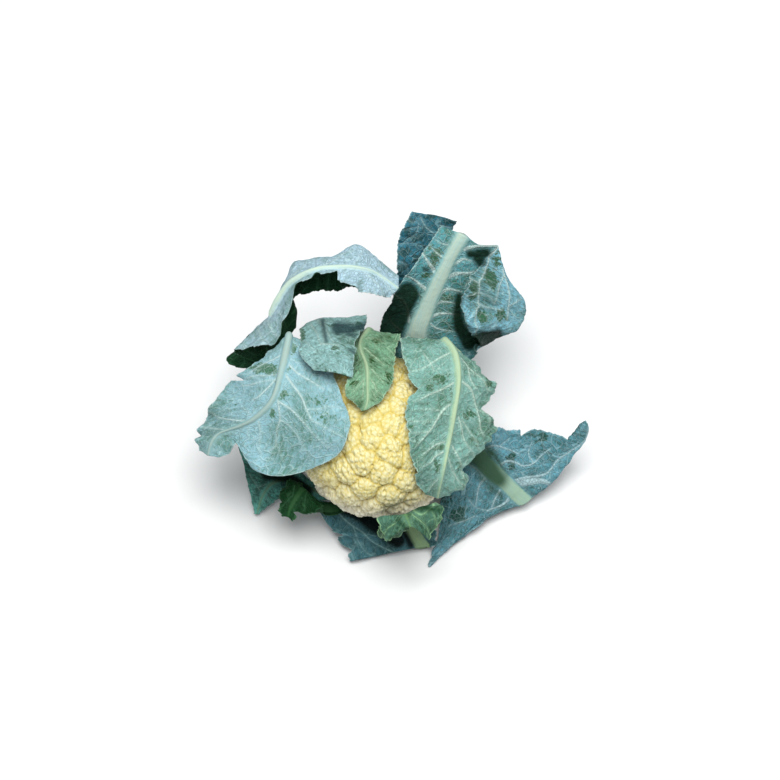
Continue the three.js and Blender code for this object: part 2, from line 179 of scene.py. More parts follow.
def lattice_draw(cell, seed):
    """A number from 0 to 1 for each whole-number cell: the fraction of a large sine of its place."""
    mixed = cell @ np.array([127.1, 311.7, 74.7])[: cell.shape[-1]] + seed * 17.31
    return np.modf(np.abs(np.sin(mixed)) * 43758.5453)[0]


def scattered_cells(points, size, seed):
    """Splits space into irregular cells round one drawn spot in each cube of a lattice, and gives
    each point's distances to the nearest spot and to the next, in cubes, and the nearest spot."""
    scaled = points / size
    cube = np.floor(scaled)
    near = np.full((2, len(points)), 9.0)
    spot = np.zeros_like(points)
    for offset in itertools.product((-1, 0, 1), repeat=points.shape[1]):
        cell = cube + offset
        drawn = np.stack([lattice_draw(cell, seed + k) for k in range(points.shape[1])], axis=1)
        middle = cell + 0.12 + 0.76 * drawn
        distance = np.linalg.norm(scaled - middle, axis=1)
        closer = distance < near[0]
        near[1] = np.where(closer, near[0], np.minimum(near[1], distance))
        near[0] = np.minimum(near[0], distance)
        spot[closer] = middle[closer] * size
    return near, spot


def pointing(fall, turn):
    """Unit directions that fall from upright by one angle and are turned about the axis by another."""
    return np.stack([np.sin(fall) * np.cos(turn), np.sin(fall) * np.sin(turn), np.cos(fall)], axis=-1)


def floret_places():
    """Floret middles on a sunflower spiral from the crown down, and each floret's radius as a share
    of the head's: the spiral's turn is the golden angle, and it is crowded at the crown."""
    share = (np.arange(FLORETS) + 0.4) / FLORETS
    fall = FLORET_SPREAD * share ** FLORET_CROWDING
    turn = np.arange(FLORETS) * GOLDEN_ANGLE
    middle = pointing(fall, turn)
    step = FLORET_SPREAD * FLORET_CROWDING * share ** (FLORET_CROWDING - 1) / FLORETS
    return middle, 0.66 * np.sqrt(2 * np.pi * np.sin(np.minimum(fall + 0.05, 2.2)) * step)


def dome_directions(count, reach):
    """Directions over a dome from its crown down to the angle reach, on a square grid laid over the
    dome with equal areas, so that no corner of the grid crowds at the crown."""
    a, b = np.meshgrid(np.linspace(-1, 1, count), np.linspace(-1, 1, count), indexing="ij")
    wide = np.abs(a) > np.abs(b)
    radius = np.where(wide, a, b)
    safe = np.where(radius == 0, 1, radius)
    turn = np.where(wide, np.pi / 4 * b / safe, np.pi / 2 - np.pi / 4 * a / safe)
    fall = 2 * np.arcsin(np.abs(radius) * np.sin(reach / 2))
    turn = np.where(radius < 0, turn + np.pi, turn)
    return pointing(fall, turn).reshape(-1, 3)


def dome(reach):
    """A round dome over a reach of 1: the square root of 1 less the reach squared."""
    return np.sqrt(np.clip(1 - reach ** 2, 0, 1))


def seam(nearest, following, cell, width):
    """1 on the line where two cells meet, falling evenly to 0 at that width in millimetres from it:
    the line lies where the distances to the two nearest spots are the same."""
    return np.clip(1 - (following - nearest) * cell / 2 / width, 0, 1)


def head_surface(direction):
    """The head's points: a ball flattened below, raised by one dome for each floret, bud and bead.
    The florets' rims waver, by two sines of the direction. A bud's place is read further from its
    floret's middle than it is, so buds crowd to the rim. The florets are still half closed at the
    crown, so they are raised half as much there. Also gives how far each point lies below the tops
    of the domes, and how near it is to a crease, 0 to 1."""
    middle, radius = floret_places()
    bent = direction + 0.03 * np.sin(direction[:, [1, 2, 0]] * 10 + [0.4, 2.1, 4.4])
    bent = bent + 0.012 * np.sin(direction[:, [2, 0, 1]] * 31 + [5.1, 0.9, 2.7])
    distance = np.linalg.norm(bent[:, None, :] - middle[None], axis=2) / radius
    floret = np.argmin(distance, axis=1)
    first, second = np.partition(distance, 1, axis=1)[:, :2].T
    shift = [lattice_draw(np.stack([floret, floret * 3.0], axis=1), k) for k in (1, 2, 3)]
    bud_place = HEAD_RADIUS * (direction + 0.5 * (bent - middle[floret])) + 400 * np.stack(shift, axis=1)
    bud, spot = scattered_cells(bud_place, BUD_SIZE, 5)
    bead, _ = scattered_cells(bud_place + 0.3 * (bud_place - spot), BEAD_SIZE, 11)
    open_share = np.clip(0.5 + 0.68 * (1 - direction[:, 2]), 0.5, 1)
    rise = FLORET_RISE * (FULL_DOME + open_share * (dome(first / 0.98) - FULL_DOME))
    rise += BUD_RISE * dome(bud[0] / 0.8) + BEAD_RISE * dome(bead[0] / 0.74)
    crease = 0.95 * seam(first, second, radius[floret] * HEAD_RADIUS, 2.4)
    crease = np.maximum(crease, 0.75 * seam(*bud, BUD_SIZE, 1.6))
    crease = np.maximum(crease, 0.5 * seam(*bead, BEAD_SIZE, 1.0))
    down = np.maximum(-direction[:, 2], 1e-3)
    ball = HEAD_RADIUS - FLORET_RISE - BUD_RISE - BEAD_RISE
    base = (ball ** -8.0 + (HEAD_UNDERSIDE / down) ** -8.0) ** (-1 / 8)
    opening = np.clip((direction[:, 2] + 0.78) / 0.2, 0, 1)
    opening = opening ** 2 * (3 - 2 * opening)
    points = direction * (base + opening * rise)[:, None] + [0, 0, HEAD_MIDDLE]
    return points, HEAD_RADIUS - ball - rise, crease


def grid_faces(rows, columns, first=0):
    """Four-sided faces over a grid of points numbered row by row."""
    corner = first + np.arange(rows - 1)[:, None] * columns + np.arange(columns - 1)[None]
    return np.stack([corner, corner + 1, corner + columns + 1, corner + columns], axis=-1).reshape(-1, 4)


def make_head():
    """The head's closed surface: the dome of florets on its grid, and one flat face below."""
    points, depth, crease = head_surface(dome_directions(HEAD_GRID, HEAD_REACH))
    number = np.arange(HEAD_GRID ** 2).reshape(HEAD_GRID, HEAD_GRID)
    rim = np.concatenate([number[0, :-1], number[:-1, -1], number[-1, :0:-1], number[:0:-1, 0]])
    faces = grid_faces(HEAD_GRID, HEAD_GRID)[:, ::-1].tolist() + [rim.tolist()]
    return points, faces, {"depth": depth, "crease": crease}


curd = Finish("curd", Roughness=0.6, Specular_IOR_Level=0.3, Subsurface_Weight=0.08, Subsurface_Scale=0.003)
curd.skin.inputs["Subsurface Radius"].default_value = (1.0, 0.9, 0.6)
here = curd.place()
depth = curd.attribute("depth")
patch = curd.noise(here, 26, 4)
grain = curd.noise(here, 420, 5, 0.6)
crease = curd.attribute("crease")
low = curd.step(curd.node("ShaderNodeSeparateXYZ", {}, {0: here}, "Z"), 0.13, 0.065)
cream = curd.mix(curd.step(patch, 0.38, 0.62), tone(243, 238, 190), tone(240, 233, 172))
cream = curd.mix(low * 0.9, cream, tone(254, 251, 232))
# Painted shade in the creases: they take a darker yellow that is partly the curd's own colour and partly
# painted shade, and the bottom of the pits is painted browner shade.
crease_yellow_and_shade = curd.mix(low, tone(223, 199, 98), tone(210, 200, 166))
sunk = curd.mix(curd.step(crease + 0.5 * (grain - 0.5), 0.12, 0.9) * 0.95, cream, crease_yellow_and_shade)
pit_shade = curd.step(depth, 5.5, 11.0) * curd.step(crease, 0.25, 0.8)
curd.feed("Base Color", curd.mix(pit_shade * 0.9, sunk, tone(160, 122, 48)))
curd.feed("Roughness", 0.5 + 0.22 * grain)
curd.bump(grain, 0.0003, 0.6)

head_points, head_faces, head_marks = make_head()
head = make_piece("head_florets", head_points, head_faces, curd, "curd", head_marks)
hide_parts("head")

# The stump
# The thick stem under the head, cut flat across where the plant was harvested. Its rind is pale
# green and lightly ribbed, its cut face whiter, with a ring of fibres round the pith.
STUMP_RADIUS = 25.0
STUMP_TOP = HEAD_MIDDLE - HEAD_UNDERSIDE - 2.3
STUMP_TURNS = 96


def turned(profile, turns, wobble):
    """Points of a profile of (radius, height) carried round the axis, the radius rippled by wobble."""
    angle = np.linspace(0, 2 * np.pi, turns, endpoint=False)
    radius = profile[:, :1] * (1 + wobble * np.sin(5 * angle + 0.7) * np.sin(11 * angle))[None]
    height = np.broadcast_to(profile[:, 1:], radius.shape)
    return np.stack([radius * np.cos(angle), radius * np.sin(angle), height], axis=-1)


def make_stump():
    """The stump's closed surface: the profile of its cut face, rounded rim, side and top turned
    round the axis, with one small flat face on the axis at either end."""
    side = [[r, 0.0] for r in np.linspace(1.2, STUMP_RADIUS - 1.5, 14)]
    side += [[STUMP_RADIUS - 0.5, 0.5], [STUMP_RADIUS, 1.6]]
    side += [[STUMP_RADIUS + 2 * max(0, h / STUMP_TOP - 0.5) * 2, h] for h in np.linspace(4, STUMP_TOP, 24)]
    side += [[r, STUMP_TOP] for r in np.linspace(STUMP_RADIUS, 1.2, 8)]
    points = turned(np.array(side), STUMP_TURNS, 0.012)
    number = np.arange(len(side) * STUMP_TURNS).reshape(-1, STUMP_TURNS)
    ends = [number[0, ::-1].tolist(), number[-1].tolist()]
    number = np.concatenate([number, number[:, :1]], axis=1)
    corners = [number[:-1, :-1], number[:-1, 1:], number[1:, 1:], number[1:, :-1]]
    return points.reshape(-1, 3), np.stack(corners, axis=-1).reshape(-1, 4).tolist() + ends


rind = Finish("stump_rind", Roughness=0.5)
here = rind.place()
height = rind.node("ShaderNodeSeparateXYZ", {}, {0: here}, "Z")
fibre = rind.noise(rind.vector("MULTIPLY", here, (1.0, 1.0, 0.12)), 260, 4)
level = rind.vector("MULTIPLY", here, (1.0, 1.0, 0.0))
from_axis = rind.node("ShaderNodeVectorMath", {"operation": "LENGTH"}, {0: level}, "Value")
ring = rind.step(from_axis, 0.0165, 0.018) * rind.step(from_axis, 0.0215, 0.0195)
green_rind = rind.mix(fibre, tone(176, 192, 134), tone(214, 220, 176))
cut_face = rind.mix(ring * 0.7, tone(226, 230, 200), tone(190, 204, 150))
cut_face = rind.mix(rind.noise(here, 300, 5) * 0.4, cut_face, tone(206, 200, 160))
rind.feed("Base Color", rind.mix(rind.step(height, 0.0004, 0.0012), cut_face, green_rind))
rind.bump(fibre, 0.0006)
stump = make_piece("stump_cut", *make_stump(), rind, "stump")
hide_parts("stump")

# The leaves bent over the head
# Four large inner leaves whose ribs were snapped so that they lie over the head, showing their
# undersides: a pale raised rib and veins on a blistered blade with a blue waxy bloom. Every leaf is
# one closed sheet, thickened into its rib along the middle, and its stalk grows out of the stump.
LEAN = math.pi / 3  # how far the frame that the blades are drawn in leans back, as the camera looks down
BLADE_THICKNESS = 1.0
RIB_LINE = 1  # the line of points, counted from a leaf's left edge, that its rib runs along
WHOLE_RIB, NO_RIB = -200.0, 900.0  # a rib shows all along the leaf, or starts too far along to show
BLISTER_SIZE = 8.0
DENSE = 20  # points read across a leaf between two lines of it
# The tone of painted shade, where a leaf gives none of its own.
DEEP_SHADE = (8, 28, 14)

# What a leaf is given, in millimetres where it is a length:
#   angle, stalk: the way it grows from the stump in degrees, and its stalk's rows
#   blade: rows of points from left to right, from the foot of the blade to its tip
#   rib: half width and depth at the foot, then at the tip; rib_from: where it begins to show;
#     pale_share: how much of its width is pale, along the leaf; crest: how far it and the veins
#     rise on the upper face, where they do
#   wave: height, count and start of the waves along the margin; frill: the margin's own ripple
#   bites: side (-1 left, 1 right), row, half length in rows and depth of a gap in the margin
#   grid: rows and columns of its mesh; seed: of all its drawn numbers
#   veins: spacing, slant and half width of the side veins that it grows by rule
#   lines: main veins drawn on it as seen by the camera: widths at both ends, then (across, up)
#   patches: see patch_cover; shade, fall: strokes of painted shade and their softness, see
#       shade_stroke_cover
#   blister, teeth: heights of its blisters and its margin's teeth; relief: depth of the net, metres
#   upper, under: tones of its faces; green: where the bloom is worn off; pale: its veins;
#     inner_green, inner_pale: the same two on its upper face; rib_tone; shade_tone: its painted shade
#   rubbed, hollow_shade, net, margin: how strongly those show, 0 to 1, hollow_shade being painted shade
#     in the dips between its puckers; soft: how softly the rib ends
MANTLES = {
    "mantle_left": {
        "angle": 152, "stalk": [[20, 46, 8], [60, 44, 10], [95, 76, 9], [105, 128, 14]],
        "rib": [7, 7, 1.2, 1], "pale_share": ([0.3, 0.9], [0.6, 0.95]), "wave": [3, 5, 0.3],
        "blade": [
            [[-112, 78, 20], [-92, 88, 34], [-66, 84, 22]],
            [[-114, 84, 38], [-90, 99, 48], [-56, 84, 30]],
            [[-134, 66, 36], [-96, 68, 57], [-41, 52, 62]],
            [[-153, 54, 26], [-105, 38, 59], [-29, 14, 84]],
            [[-164, 36, 18], [-122, 20, 50], [-42, -18, 78]],
            [[-176, 20, 10], [-137, 12, 41], [-90, -38, 50]],
            [[-181, 8, 8], [-148, 8, 34], [-127, -31, 38]],
            [[-183, 2, 8], [-160, 3, 29], [-139, -6, 34]],
            [[-183, -4, 10], [-167, -5, 26], [-150, -17, 30]],
            [[-182, -12, 14], [-171, -18, 20], [-159, -20, 26]],
        ],
        "bites": [[-1, 6.6, 0.22, 0.2]],
        "grid": (236, 180), "veins": (19, 0.85, 1.7), "blister": 1.1, "teeth": 0.8, "seed": 3,
        "relief": 0.0007,
        "lines": [
            (1.6, 0.7, (-89.5, 71.5), (-80.5, 63), (-69.5, 56.5), (-55.5, 49)),
            (1.9, 1, (-93, 62), (-85, 51), (-77.5, 40.5), (-72, 27.5), (-67, 17.5)),
            (1, 0.4, (-67, 17.5), (-54.5, 11), (-36, 1)),
            (0.7, 0.3, (-70.5, 28), (-60, 28.5), (-50, 31.5), (-36, 30)),
            (1.6, 0.5, (-99, 35), (-87, 27.5), (-77.5, 18.5), (-69.5, 10), (-60, -1), (-46, -12)),
            (1.5, 0.7, (-100.5, 37), (-99, 26), (-98.5, 17.5), (-102, 7.5), (-103.5, -7.5), (-110, -14)),
            (0.9, 0.4, (-98, 17.5), (-88, 11), (-78.5, -1), (-73, -14), (-68.5, -25)),
            (0.7, 0.3, (-103.5, -3), (-100, -13), (-95.5, -23.5)),
            (1.1, 0.5, (-120, 17.5), (-118.5, 5.5), (-119.5, -8.5), (-117.5, -17)),
            (0.7, 0.3, (-129.5, 12.5), (-131, 1)),
            (1.1, 0.4, (-95.5, 82.5), (-105.5, 77), (-114, 73), (-128, 64.5)),
            (1.5, 0.6, (-98, 63), (-107.5, 52), (-114, 45.5), (-119.5, 40.5), (-126, 37)),
            (0.9, 0.4, (-98, 63), (-112, 61), (-125, 60.5), (-136, 56.5)),
            (0.8, 0.4, (-100, 57.5), (-114, 55.5), (-129.5, 52), (-138, 52)),
            (1.4, 0.5, (-120.5, 18.5), (-133.5, 16.5), (-146.5, 17.5), (-160.5, 20), (-171.5, 27.5)),
            (0.8, 0.3, (-138, 9), (-152, 7.5), (-168.5, 9), (-178, 10)),
            (0.6, 0.3, (-125, 17.5), (-129.5, 24), (-136, 29.5)),
        ],
        "patches": [(-110, 68, 16, 5, 1), (-94.5, 42.5, 5, 4, 0.8), (-86, 90, 3.5, 7, 0.9),
            (-106.5, 24, 3, 5, 0.8), (-54.5, 21, 12, 6, 0.5), (-60, 36, 8, 7, 0.5),
            (-143, 32, 12, 8, 0.35), (-100, 54, 2.5, 3, 0.7)],
        "upper": (120, 160, 160), "under": (154, 202, 213), "green": (73, 122, 95),
        "pale": (201, 226, 222), "rib_tone": (168, 192, 182), "rubbed": 0.5,
    },
    "mantle_back": {
        "angle": 119, "stalk": [[20, 35, 8], [60, 38, 10], [97, 70, 9], [112, 125, 16]],
        "rib": [6, 6, 1.2, 1], "wave": [2.5, 4, 0.1],
        "blade": [
            [[-80, 104, 0], [-60, 112, -2], [-24, 114, 2]],
            [[-80, 109, 20], [-58, 118, 18], [-12, 120, 20]],
            [[-80, 95, 52], [-57, 99, 54], [-18, 103, 52]],
            [[-79, 80, 66], [-50, 80, 73], [-23, 82, 73]],
            [[-66, 67, 74], [-44, 64, 79], [-26, 60, 80]],
        ],
        "bites": [[1, 6.4, 0.3, 0.12]],
        "grid": (190, 110), "veins": (15, 0.7, 1.3), "blister": 1.8, "teeth": 1.4, "seed": 8,
        "lines": [
            (1.1, 0.8, (-68.5, 111.5), (-63, 105), (-60.5, 98), (-58.5, 92.5)),
            (1.2, 0.8, (-62.5, 117), (-57, 110), (-55, 101.5), (-55.5, 94)),
            (1.1, 0.6, (-55, 114), (-52.5, 105), (-48.5, 98), (-45, 93.5)),
            (1.8, 1, (-58.5, 92), (-50, 92), (-40.5, 90.5)),
            (0.6, 0.4, (-77, 98), (-69.5, 91), (-63, 84)),
            (1.1, 0.6, (-50, 66.5), (-44, 62), (-36.5, 58), (-29.5, 54.5)),
            (0.8, 0.5, (-71.5, 60.5), (-68, 66.5), (-64, 69.5)),
        ],
        "patches": [(-79.5, 102.5, 4.5, 5, 1), (-84, 88.5, 4, 6, 1), (-45, 88, 5, 3, 0.9),
            (-19, 112, 6, 4, 0.8), (-45, 62, 13, 4.5, 0.7), (-45, 112, 8, 3, 0.6)],
        "rib_from": NO_RIB,
        # Painted shade: strokes darken a fold near the left, the top of the leaf, and two notches in its
        # margin that are painted dark, not cut.
        "shade": [
            (5, 3, (-57, 115), (-55, 104), (-53, 95)),
            (13, 7, (-42, 110), (-26, 110), (-14, 114)),
            (4, 4, (-32, 104), (-25, 101)),
            (3, 3, (-29, 87), (-24, 83)),
        ],
        "shade_tone": (58, 86, 88),
        "upper": (104, 140, 130), "under": (159, 206, 205), "green": (60, 102, 76),
        "pale": (176, 206, 198), "rib_tone": (140, 178, 166), "rubbed": 0.8,
    },
    "mantle_centre": {
        "angle": 88, "stalk": [[20, 47, 7], [56, 47, 9], [90, 78, 7], [98, 120, 11]],
        "rib": [5, 5, 1, 0.8], "wave": [2, 5, 0.6],
        "blade": [
            [[-32, 97, -4], [-4, 101, -2], [20, 97, 2]],
            [[-36, 103, 12], [-12, 106, 18], [22, 104, 20]],
            [[-28, 90, 40], [-20, 91, 42], [18, 88, 46]],
            [[-30, 68, 62], [-13, 70, 65], [15, 66, 66]],
            [[-36, 46, 76], [-12, 50, 77], [13, 52, 78]],
            [[-28, 35, 84], [-12, 36, 86], [3, 37, 86]],
            [[-20, 27, 87], [-15, 27, 88], [-10, 29, 88]],
        ],
        "grid": (190, 90), "veins": (13, 0.9, 1.0), "blister": 1.8, "teeth": 2.2, "seed": 14,
        "hollow_shade": 0.6, "margin": 0.8,
        "lines": [
            (1.2, 0.5, (-22.5, 97), (-19.5, 91), (-12.5, 86.5), (-7.5, 82), (-1, 76.5), (4, 72)),
            (1, 0.4, (-12.5, 68), (-7.5, 66.5), (-3.5, 62), (3.5, 55)),
            (1.2, 0.5, (-11, 59.5), (-5, 52), (-3, 46), (5, 40)),
            (0.7, 0.3, (-10.5, 49.5), (-6, 43.5), (-3, 36)),
            (1.1, 0.4, (-12.5, 61), (-16, 53.5), (-16, 46.5), (-17.5, 39)),
            (0.8, 0.3, (-14, 59), (-21, 51), (-27, 46)),
            (0.7, 0.3, (-21, 94), (-13.5, 98), (-3.5, 98.5), (5.5, 93.5)),
        ],
        "patches": [(-3.5, 96, 8, 4, 0.6), (-8, 76.5, 4, 5, 0.7), (7, 60, 7, 9, 0.5), (-24, 54, 6, 4, 0.6)],
        "upper": (99, 141, 110), "under": (131, 183, 148), "green": (40, 83, 37),
        "pale": (180, 209, 174), "rib_tone": (173, 199, 160), "rubbed": 0.8,
    },
    "mantle_right": {
        "angle": 40, "stalk": [[20, 46, 8], [60, 44, 10], [95, 76, 9], [105, 128, 14]],
        "rib": [7, 7, 1.2, 1], "wave": [3, 6, 0],
        "blade": [
            [[50, 92, 10], [72, 87, 10], [94, 74, 4]],
            [[22, 103, 30], [64, 95, 36], [90, 76, 26]],
            [[20, 85, 54], [74, 82, 52], [102, 66, 32]],
            [[28, 58, 72], [77, 56, 60], [118, 50, 26]],
            [[26, 26, 86], [73, 26, 61], [110, 27, 30]],
            [[28, -6, 88], [68, -2, 58], [119, 4, 22]],
            [[34, -33, 80], [63, -28, 57], [96, -20, 28]],
            [[36, -46, 68], [59, -48, 46], [87, -48, 22]],
            [[46, -57, 48], [57, -60, 32], [72, -60, 22]],
        ],
        "bites": [[1, 8, 0.35, 0.14], [1, 10.4, 0.3, 0.2], [-1, 7.3, 0.3, 0.16]],
        "grid": (250, 170), "veins": (17, 0.62, 1.5), "blister": 2.4, "teeth": 2.0, "seed": 21,
        "lines": [
            (1.2, 0.5, (70, 84), (60, 79.5), (50.5, 73.5), (41.5, 68.5), (29, 66)),
            (0.7, 0.4, (43.5, 82.5), (50.5, 73.5), (53, 66)),
            (1.5, 0.6, (73.5, 54.5), (61, 47.5), (48.5, 42.5), (38.5, 37)),
            (1.8, 0.6, (73, 34.5), (64.5, 29), (57.5, 20), (51.5, 10), (42.5, -0.5), (35.5, -7.5)),
            (0.8, 0.4, (61, 26.5), (50.5, 28), (41.5, 27.5)),
            (0.7, 0.3, (55, 16), (43.5, 16), (27.5, 16.5)),
            (0.7, 0.3, (49.5, 6.5), (40.5, 5), (31, 5)),
            (1.5, 0.6, (68, -3.5), (57.5, -6), (49.5, -11), (42.5, -16.5)),
            (1.4, 0.5, (64.5, -13), (55, -19), (50.5, -24.5), (41.5, -29)),
            (1.1, 0.5, (80.5, 78.5), (87.5, 70.5), (89.5, 57), (95.5, 47.5)),
            (1.8, 0.6, (81.5, 55), (88.5, 49), (94, 37.5), (97, 25), (100, 8.5), (104.5, 0.5)),
            (0.7, 0.3, (97, 27), (105.5, 23.5), (109, 14.5)),
            (0.8, 0.4, (88.5, 69.5), (100, 58), (107, 47.5), (115, 44.5)),
            (1.3, 0.6, (77.5, 20), (80.5, 11), (84, -3), (94, -20)),
            (0.9, 0.4, (81.5, 16.5), (88.5, 6.5), (95.5, -4), (97.5, -12)),
            (1.4, 0.4, (71.5, -8.5), (76, -16.5), (80.5, -28), (84, -42)),
            (1.1, 0.4, (67, -19), (72.5, -34), (78, -44), (85, -48.5)),
            (0.7, 0.3, (61, -37), (54, -45.5), (48.5, -53.5)),
        ],
        "patches": [(60, 59, 9, 5, 0.8), (49.5, 49, 4, 4, 0.8), (61, -9.5, 7, 3.5, 0.8),
            (88.5, 22.5, 8, 6, 0.6), (57.5, -30.5, 3.5, 9, 0.7), (77, -29, 4, 8, 0.6),
            (107, 54.5, 7, 8, 0.6), (95, -4, 7, 8, 0.5), (32, 11, 5, 9, 0.5), (71, 42, 3, 6, 0.6)],
        "upper": (112, 151, 133), "under": (135, 188, 176), "green": (64, 111, 80),
        "pale": (204, 231, 214), "rib_tone": (185, 209, 170), "rubbed": 0.7,
    },
}


def carried(points, t):
    """Points read at t, counted in points, on the usual Catmull-Rom cubic through them."""
    padded = np.concatenate([[2 * points[0] - points[1]], points, [2 * points[-1] - points[-2]]])
    i = np.clip(np.floor(t).astype(int), 0, len(points) - 2)
    s = (t - i).reshape(-1, *[1] * (points.ndim - 1))
    p0, p1, p2, p3 = (padded[i + k] for k in range(4))
    return 0.5 * (2 * p1 + (p2 - p0) * s + (2 * p0 - 5 * p1 + 4 * p2 - p3) * s ** 2
                  + (3 * p1 - p0 - 3 * p2 + p3) * s ** 3)


def leaf_rows(leaf):
    """The rows that a leaf is drawn through. Blade points are given across, up and out in a frame
    leaning back by 60 degrees about the head's middle; stalk rows by radius, height and half width."""
    across, up, out = np.moveaxis(np.array(leaf["blade"], float), -1, 0)
    y = up * math.sin(LEAN) - out * math.cos(LEAN)
    z = HEAD_MIDDLE + up * math.cos(LEAN) + out * math.sin(LEAN)
    blade = np.stack([across, y, z], axis=-1)
    lines = blade.shape[1]
    angle = math.radians(leaf["angle"])
    leftward = np.array([-math.sin(angle), math.cos(angle), 0])
    side = np.array([1.0] + [-(k - RIB_LINE) / (lines - 1 - RIB_LINE) for k in range(RIB_LINE, lines)])
    radius, height, half = np.array(leaf["stalk"], float).T
    middle = np.stack([radius * math.cos(angle), radius * math.sin(angle), height], axis=-1)
    stalk = middle[:, None] + side[None, :, None] * half[:, None, None] * leftward
    return np.concatenate([stalk, blade])


def ripple(x, y, size, seed):
    """A smooth uneven field from -1 to 1: six sine waves of about that size in drawn directions."""
    draw = np.random.default_rng(seed)
    total = 0
    for _ in range(6):
        turn, phase = draw.uniform(0, 2 * np.pi), draw.uniform(0, 2 * np.pi)
        stretch = draw.uniform(0.7, 1.5)
        total = total + np.sin(2 * np.pi / (size * stretch) * (x * np.cos(turn) + y * np.sin(turn)) + phase)
    return total / 3.2


def toothed(distance, seed):
    """Uneven teeth along a margin: a coarse and a fine saw and a slow lobe, read at a rippled distance."""
    read = distance + 2.5 * ripple(distance, 0 * distance, 17, seed)
    coarse, fine = np.modf(np.abs(read) / 9.5)[0], np.modf(np.abs(read) / 4.1 + 0.3)[0]
    lobe = 0.5 + 0.5 * ripple(distance, 0 * distance, 30, seed + 1)
    return 0.4 * coarse ** 1.5 + 0.6 * fine + 0.8 * lobe


def leaf_sheet(leaf):
    """The middle sheet of a leaf on a grid, row along it and column across from its left edge: the
    rows' cubic both ways, read evenly by length, with the rib's width kept and the rest trimmed by
    bites and teeth. Gives the points and, for each row, its place t among the drawn rows and its
    distance along from the blade's foot, the distance across of each point from the rib, the two
    half widths, that distance as a share of them, the rib's half width, the foot's and the last t."""
    drawn = leaf_rows(leaf)
    last, lines = len(drawn) - 1, drawn.shape[1]
    foot = len(leaf["stalk"]) - 0.5
    rows, columns = leaf["grid"]
    fine = np.linspace(0, last, 600)
    rib = carried(drawn[:, RIB_LINE], fine)
    gap = np.linalg.norm(np.diff(rib, axis=0), axis=1)
    length = np.concatenate([[0], np.cumsum(gap)])
    weight = np.concatenate([[0], np.cumsum(gap * np.where(fine[1:] < foot, 0.35, 1.0) + 0.05)])
    t = np.interp(np.linspace(0, weight[-1], rows), weight, fine)
    along = np.interp(t, fine, length) - np.interp(foot, fine, length)
    across = np.linspace(0, lines - 1, (lines - 1) * DENSE + 1)
    dense = carried(carried(drawn, t).transpose(1, 0, 2), across).transpose(1, 0, 2)
    gap = np.linalg.norm(np.diff(dense, axis=1), axis=2)
    reach = np.concatenate([np.zeros((rows, 1)), np.cumsum(gap, axis=1)], axis=1)
    reach -= reach[:, [RIB_LINE * DENSE]]
    half = np.stack([-reach[:, 0], reach[:, -1]])
    grown = np.clip(along / 25, 0, 1)
    keep = np.ones((2, rows))
    for side, row, span, depth in leaf.get("bites", []):
        x = np.clip((t - row) / span, -1, 1)
        keep[(side + 1) // 2] -= depth * (1 + np.cos(np.pi * x)) / 2
    for k in (0, 1):
        keep[k] -= grown * leaf["teeth"] * toothed(along, leaf["seed"] + 40 * k) / np.maximum(half[k], 8)
    rib_half = np.interp(t / last, [0, 1], leaf["rib"][0::2])
    rib_half = rib_half * (1 + 0.1 * ripple(along, 0 * along, 40, leaf["seed"] + 8))
    left = max(8, round(columns * half[0].mean() / half.sum(0).mean()))
    share = []
    for k, count in ((0, left), (1, columns - left)):
        narrow = np.minimum(rib_half / np.maximum(half[k], 1), 0.55)[:, None]
        inner = narrow * np.linspace(0, 1, 6)[None, 1:]
        outer = narrow + (1 - narrow) * (np.linspace(0, 1, count - 5)[None, 1:])
        share.append(np.concatenate([inner, outer], axis=1) * keep[k][:, None])
    share = np.concatenate([-share[0][:, ::-1], np.zeros((rows, 1)), share[1]], axis=1)
    wanted = np.where(share < 0, share * half[0][:, None], share * half[1][:, None])
    row = np.arange(rows)[:, None]
    base = row * 1e5
    k = np.searchsorted((reach + base).ravel(), (wanted + base).ravel()).reshape(wanted.shape)
    k = np.clip(k - row * reach.shape[1], 1, reach.shape[1] - 1)
    s = ((wanted - reach[row, k - 1]) / np.maximum(reach[row, k] - reach[row, k - 1], 1e-9))[..., None]
    points = dense[row, k - 1] * (1 - s) + dense[row, k] * s
    return points, t, along, wanted, half * keep, share, rib_half, foot, last


def facing(points):
    """Unit normals of a grid of points: the step along it crossed with the step to the left."""
    ahead = np.gradient(points, axis=0)
    rightward = np.gradient(points, axis=1)
    normal = np.cross(rightward, ahead)
    return normal / np.maximum(np.linalg.norm(normal, axis=-1, keepdims=True), 1e-9)


def line_gaps(places, lines):
    """Distance from each place to the edge of the nearest drawn line, less than 0 inside it, and that
    line's half width there. A line is its widths at both ends and the points that it runs through."""
    gap, half = np.full(len(places), 99.0), np.zeros(len(places))
    for start, end, *points in lines:
        t = np.linspace(0, len(points) - 1, 5 * len(points))
        curve = carried(np.array(points, float), t)
        for k, step in enumerate(np.diff(curve, axis=0)):
            share = np.clip((places - curve[k]) @ step / max(step @ step, 1e-9), 0, 1)
            wide = (start + (end - start) * (t[k] + share * t[1]) / t[-1]) / 2
            reach = np.linalg.norm(places - curve[k] - share[:, None] * step, axis=1) - wide
            closer = reach < gap
            gap[closer], half[closer] = reach[closer], wide[closer]
    return gap, half


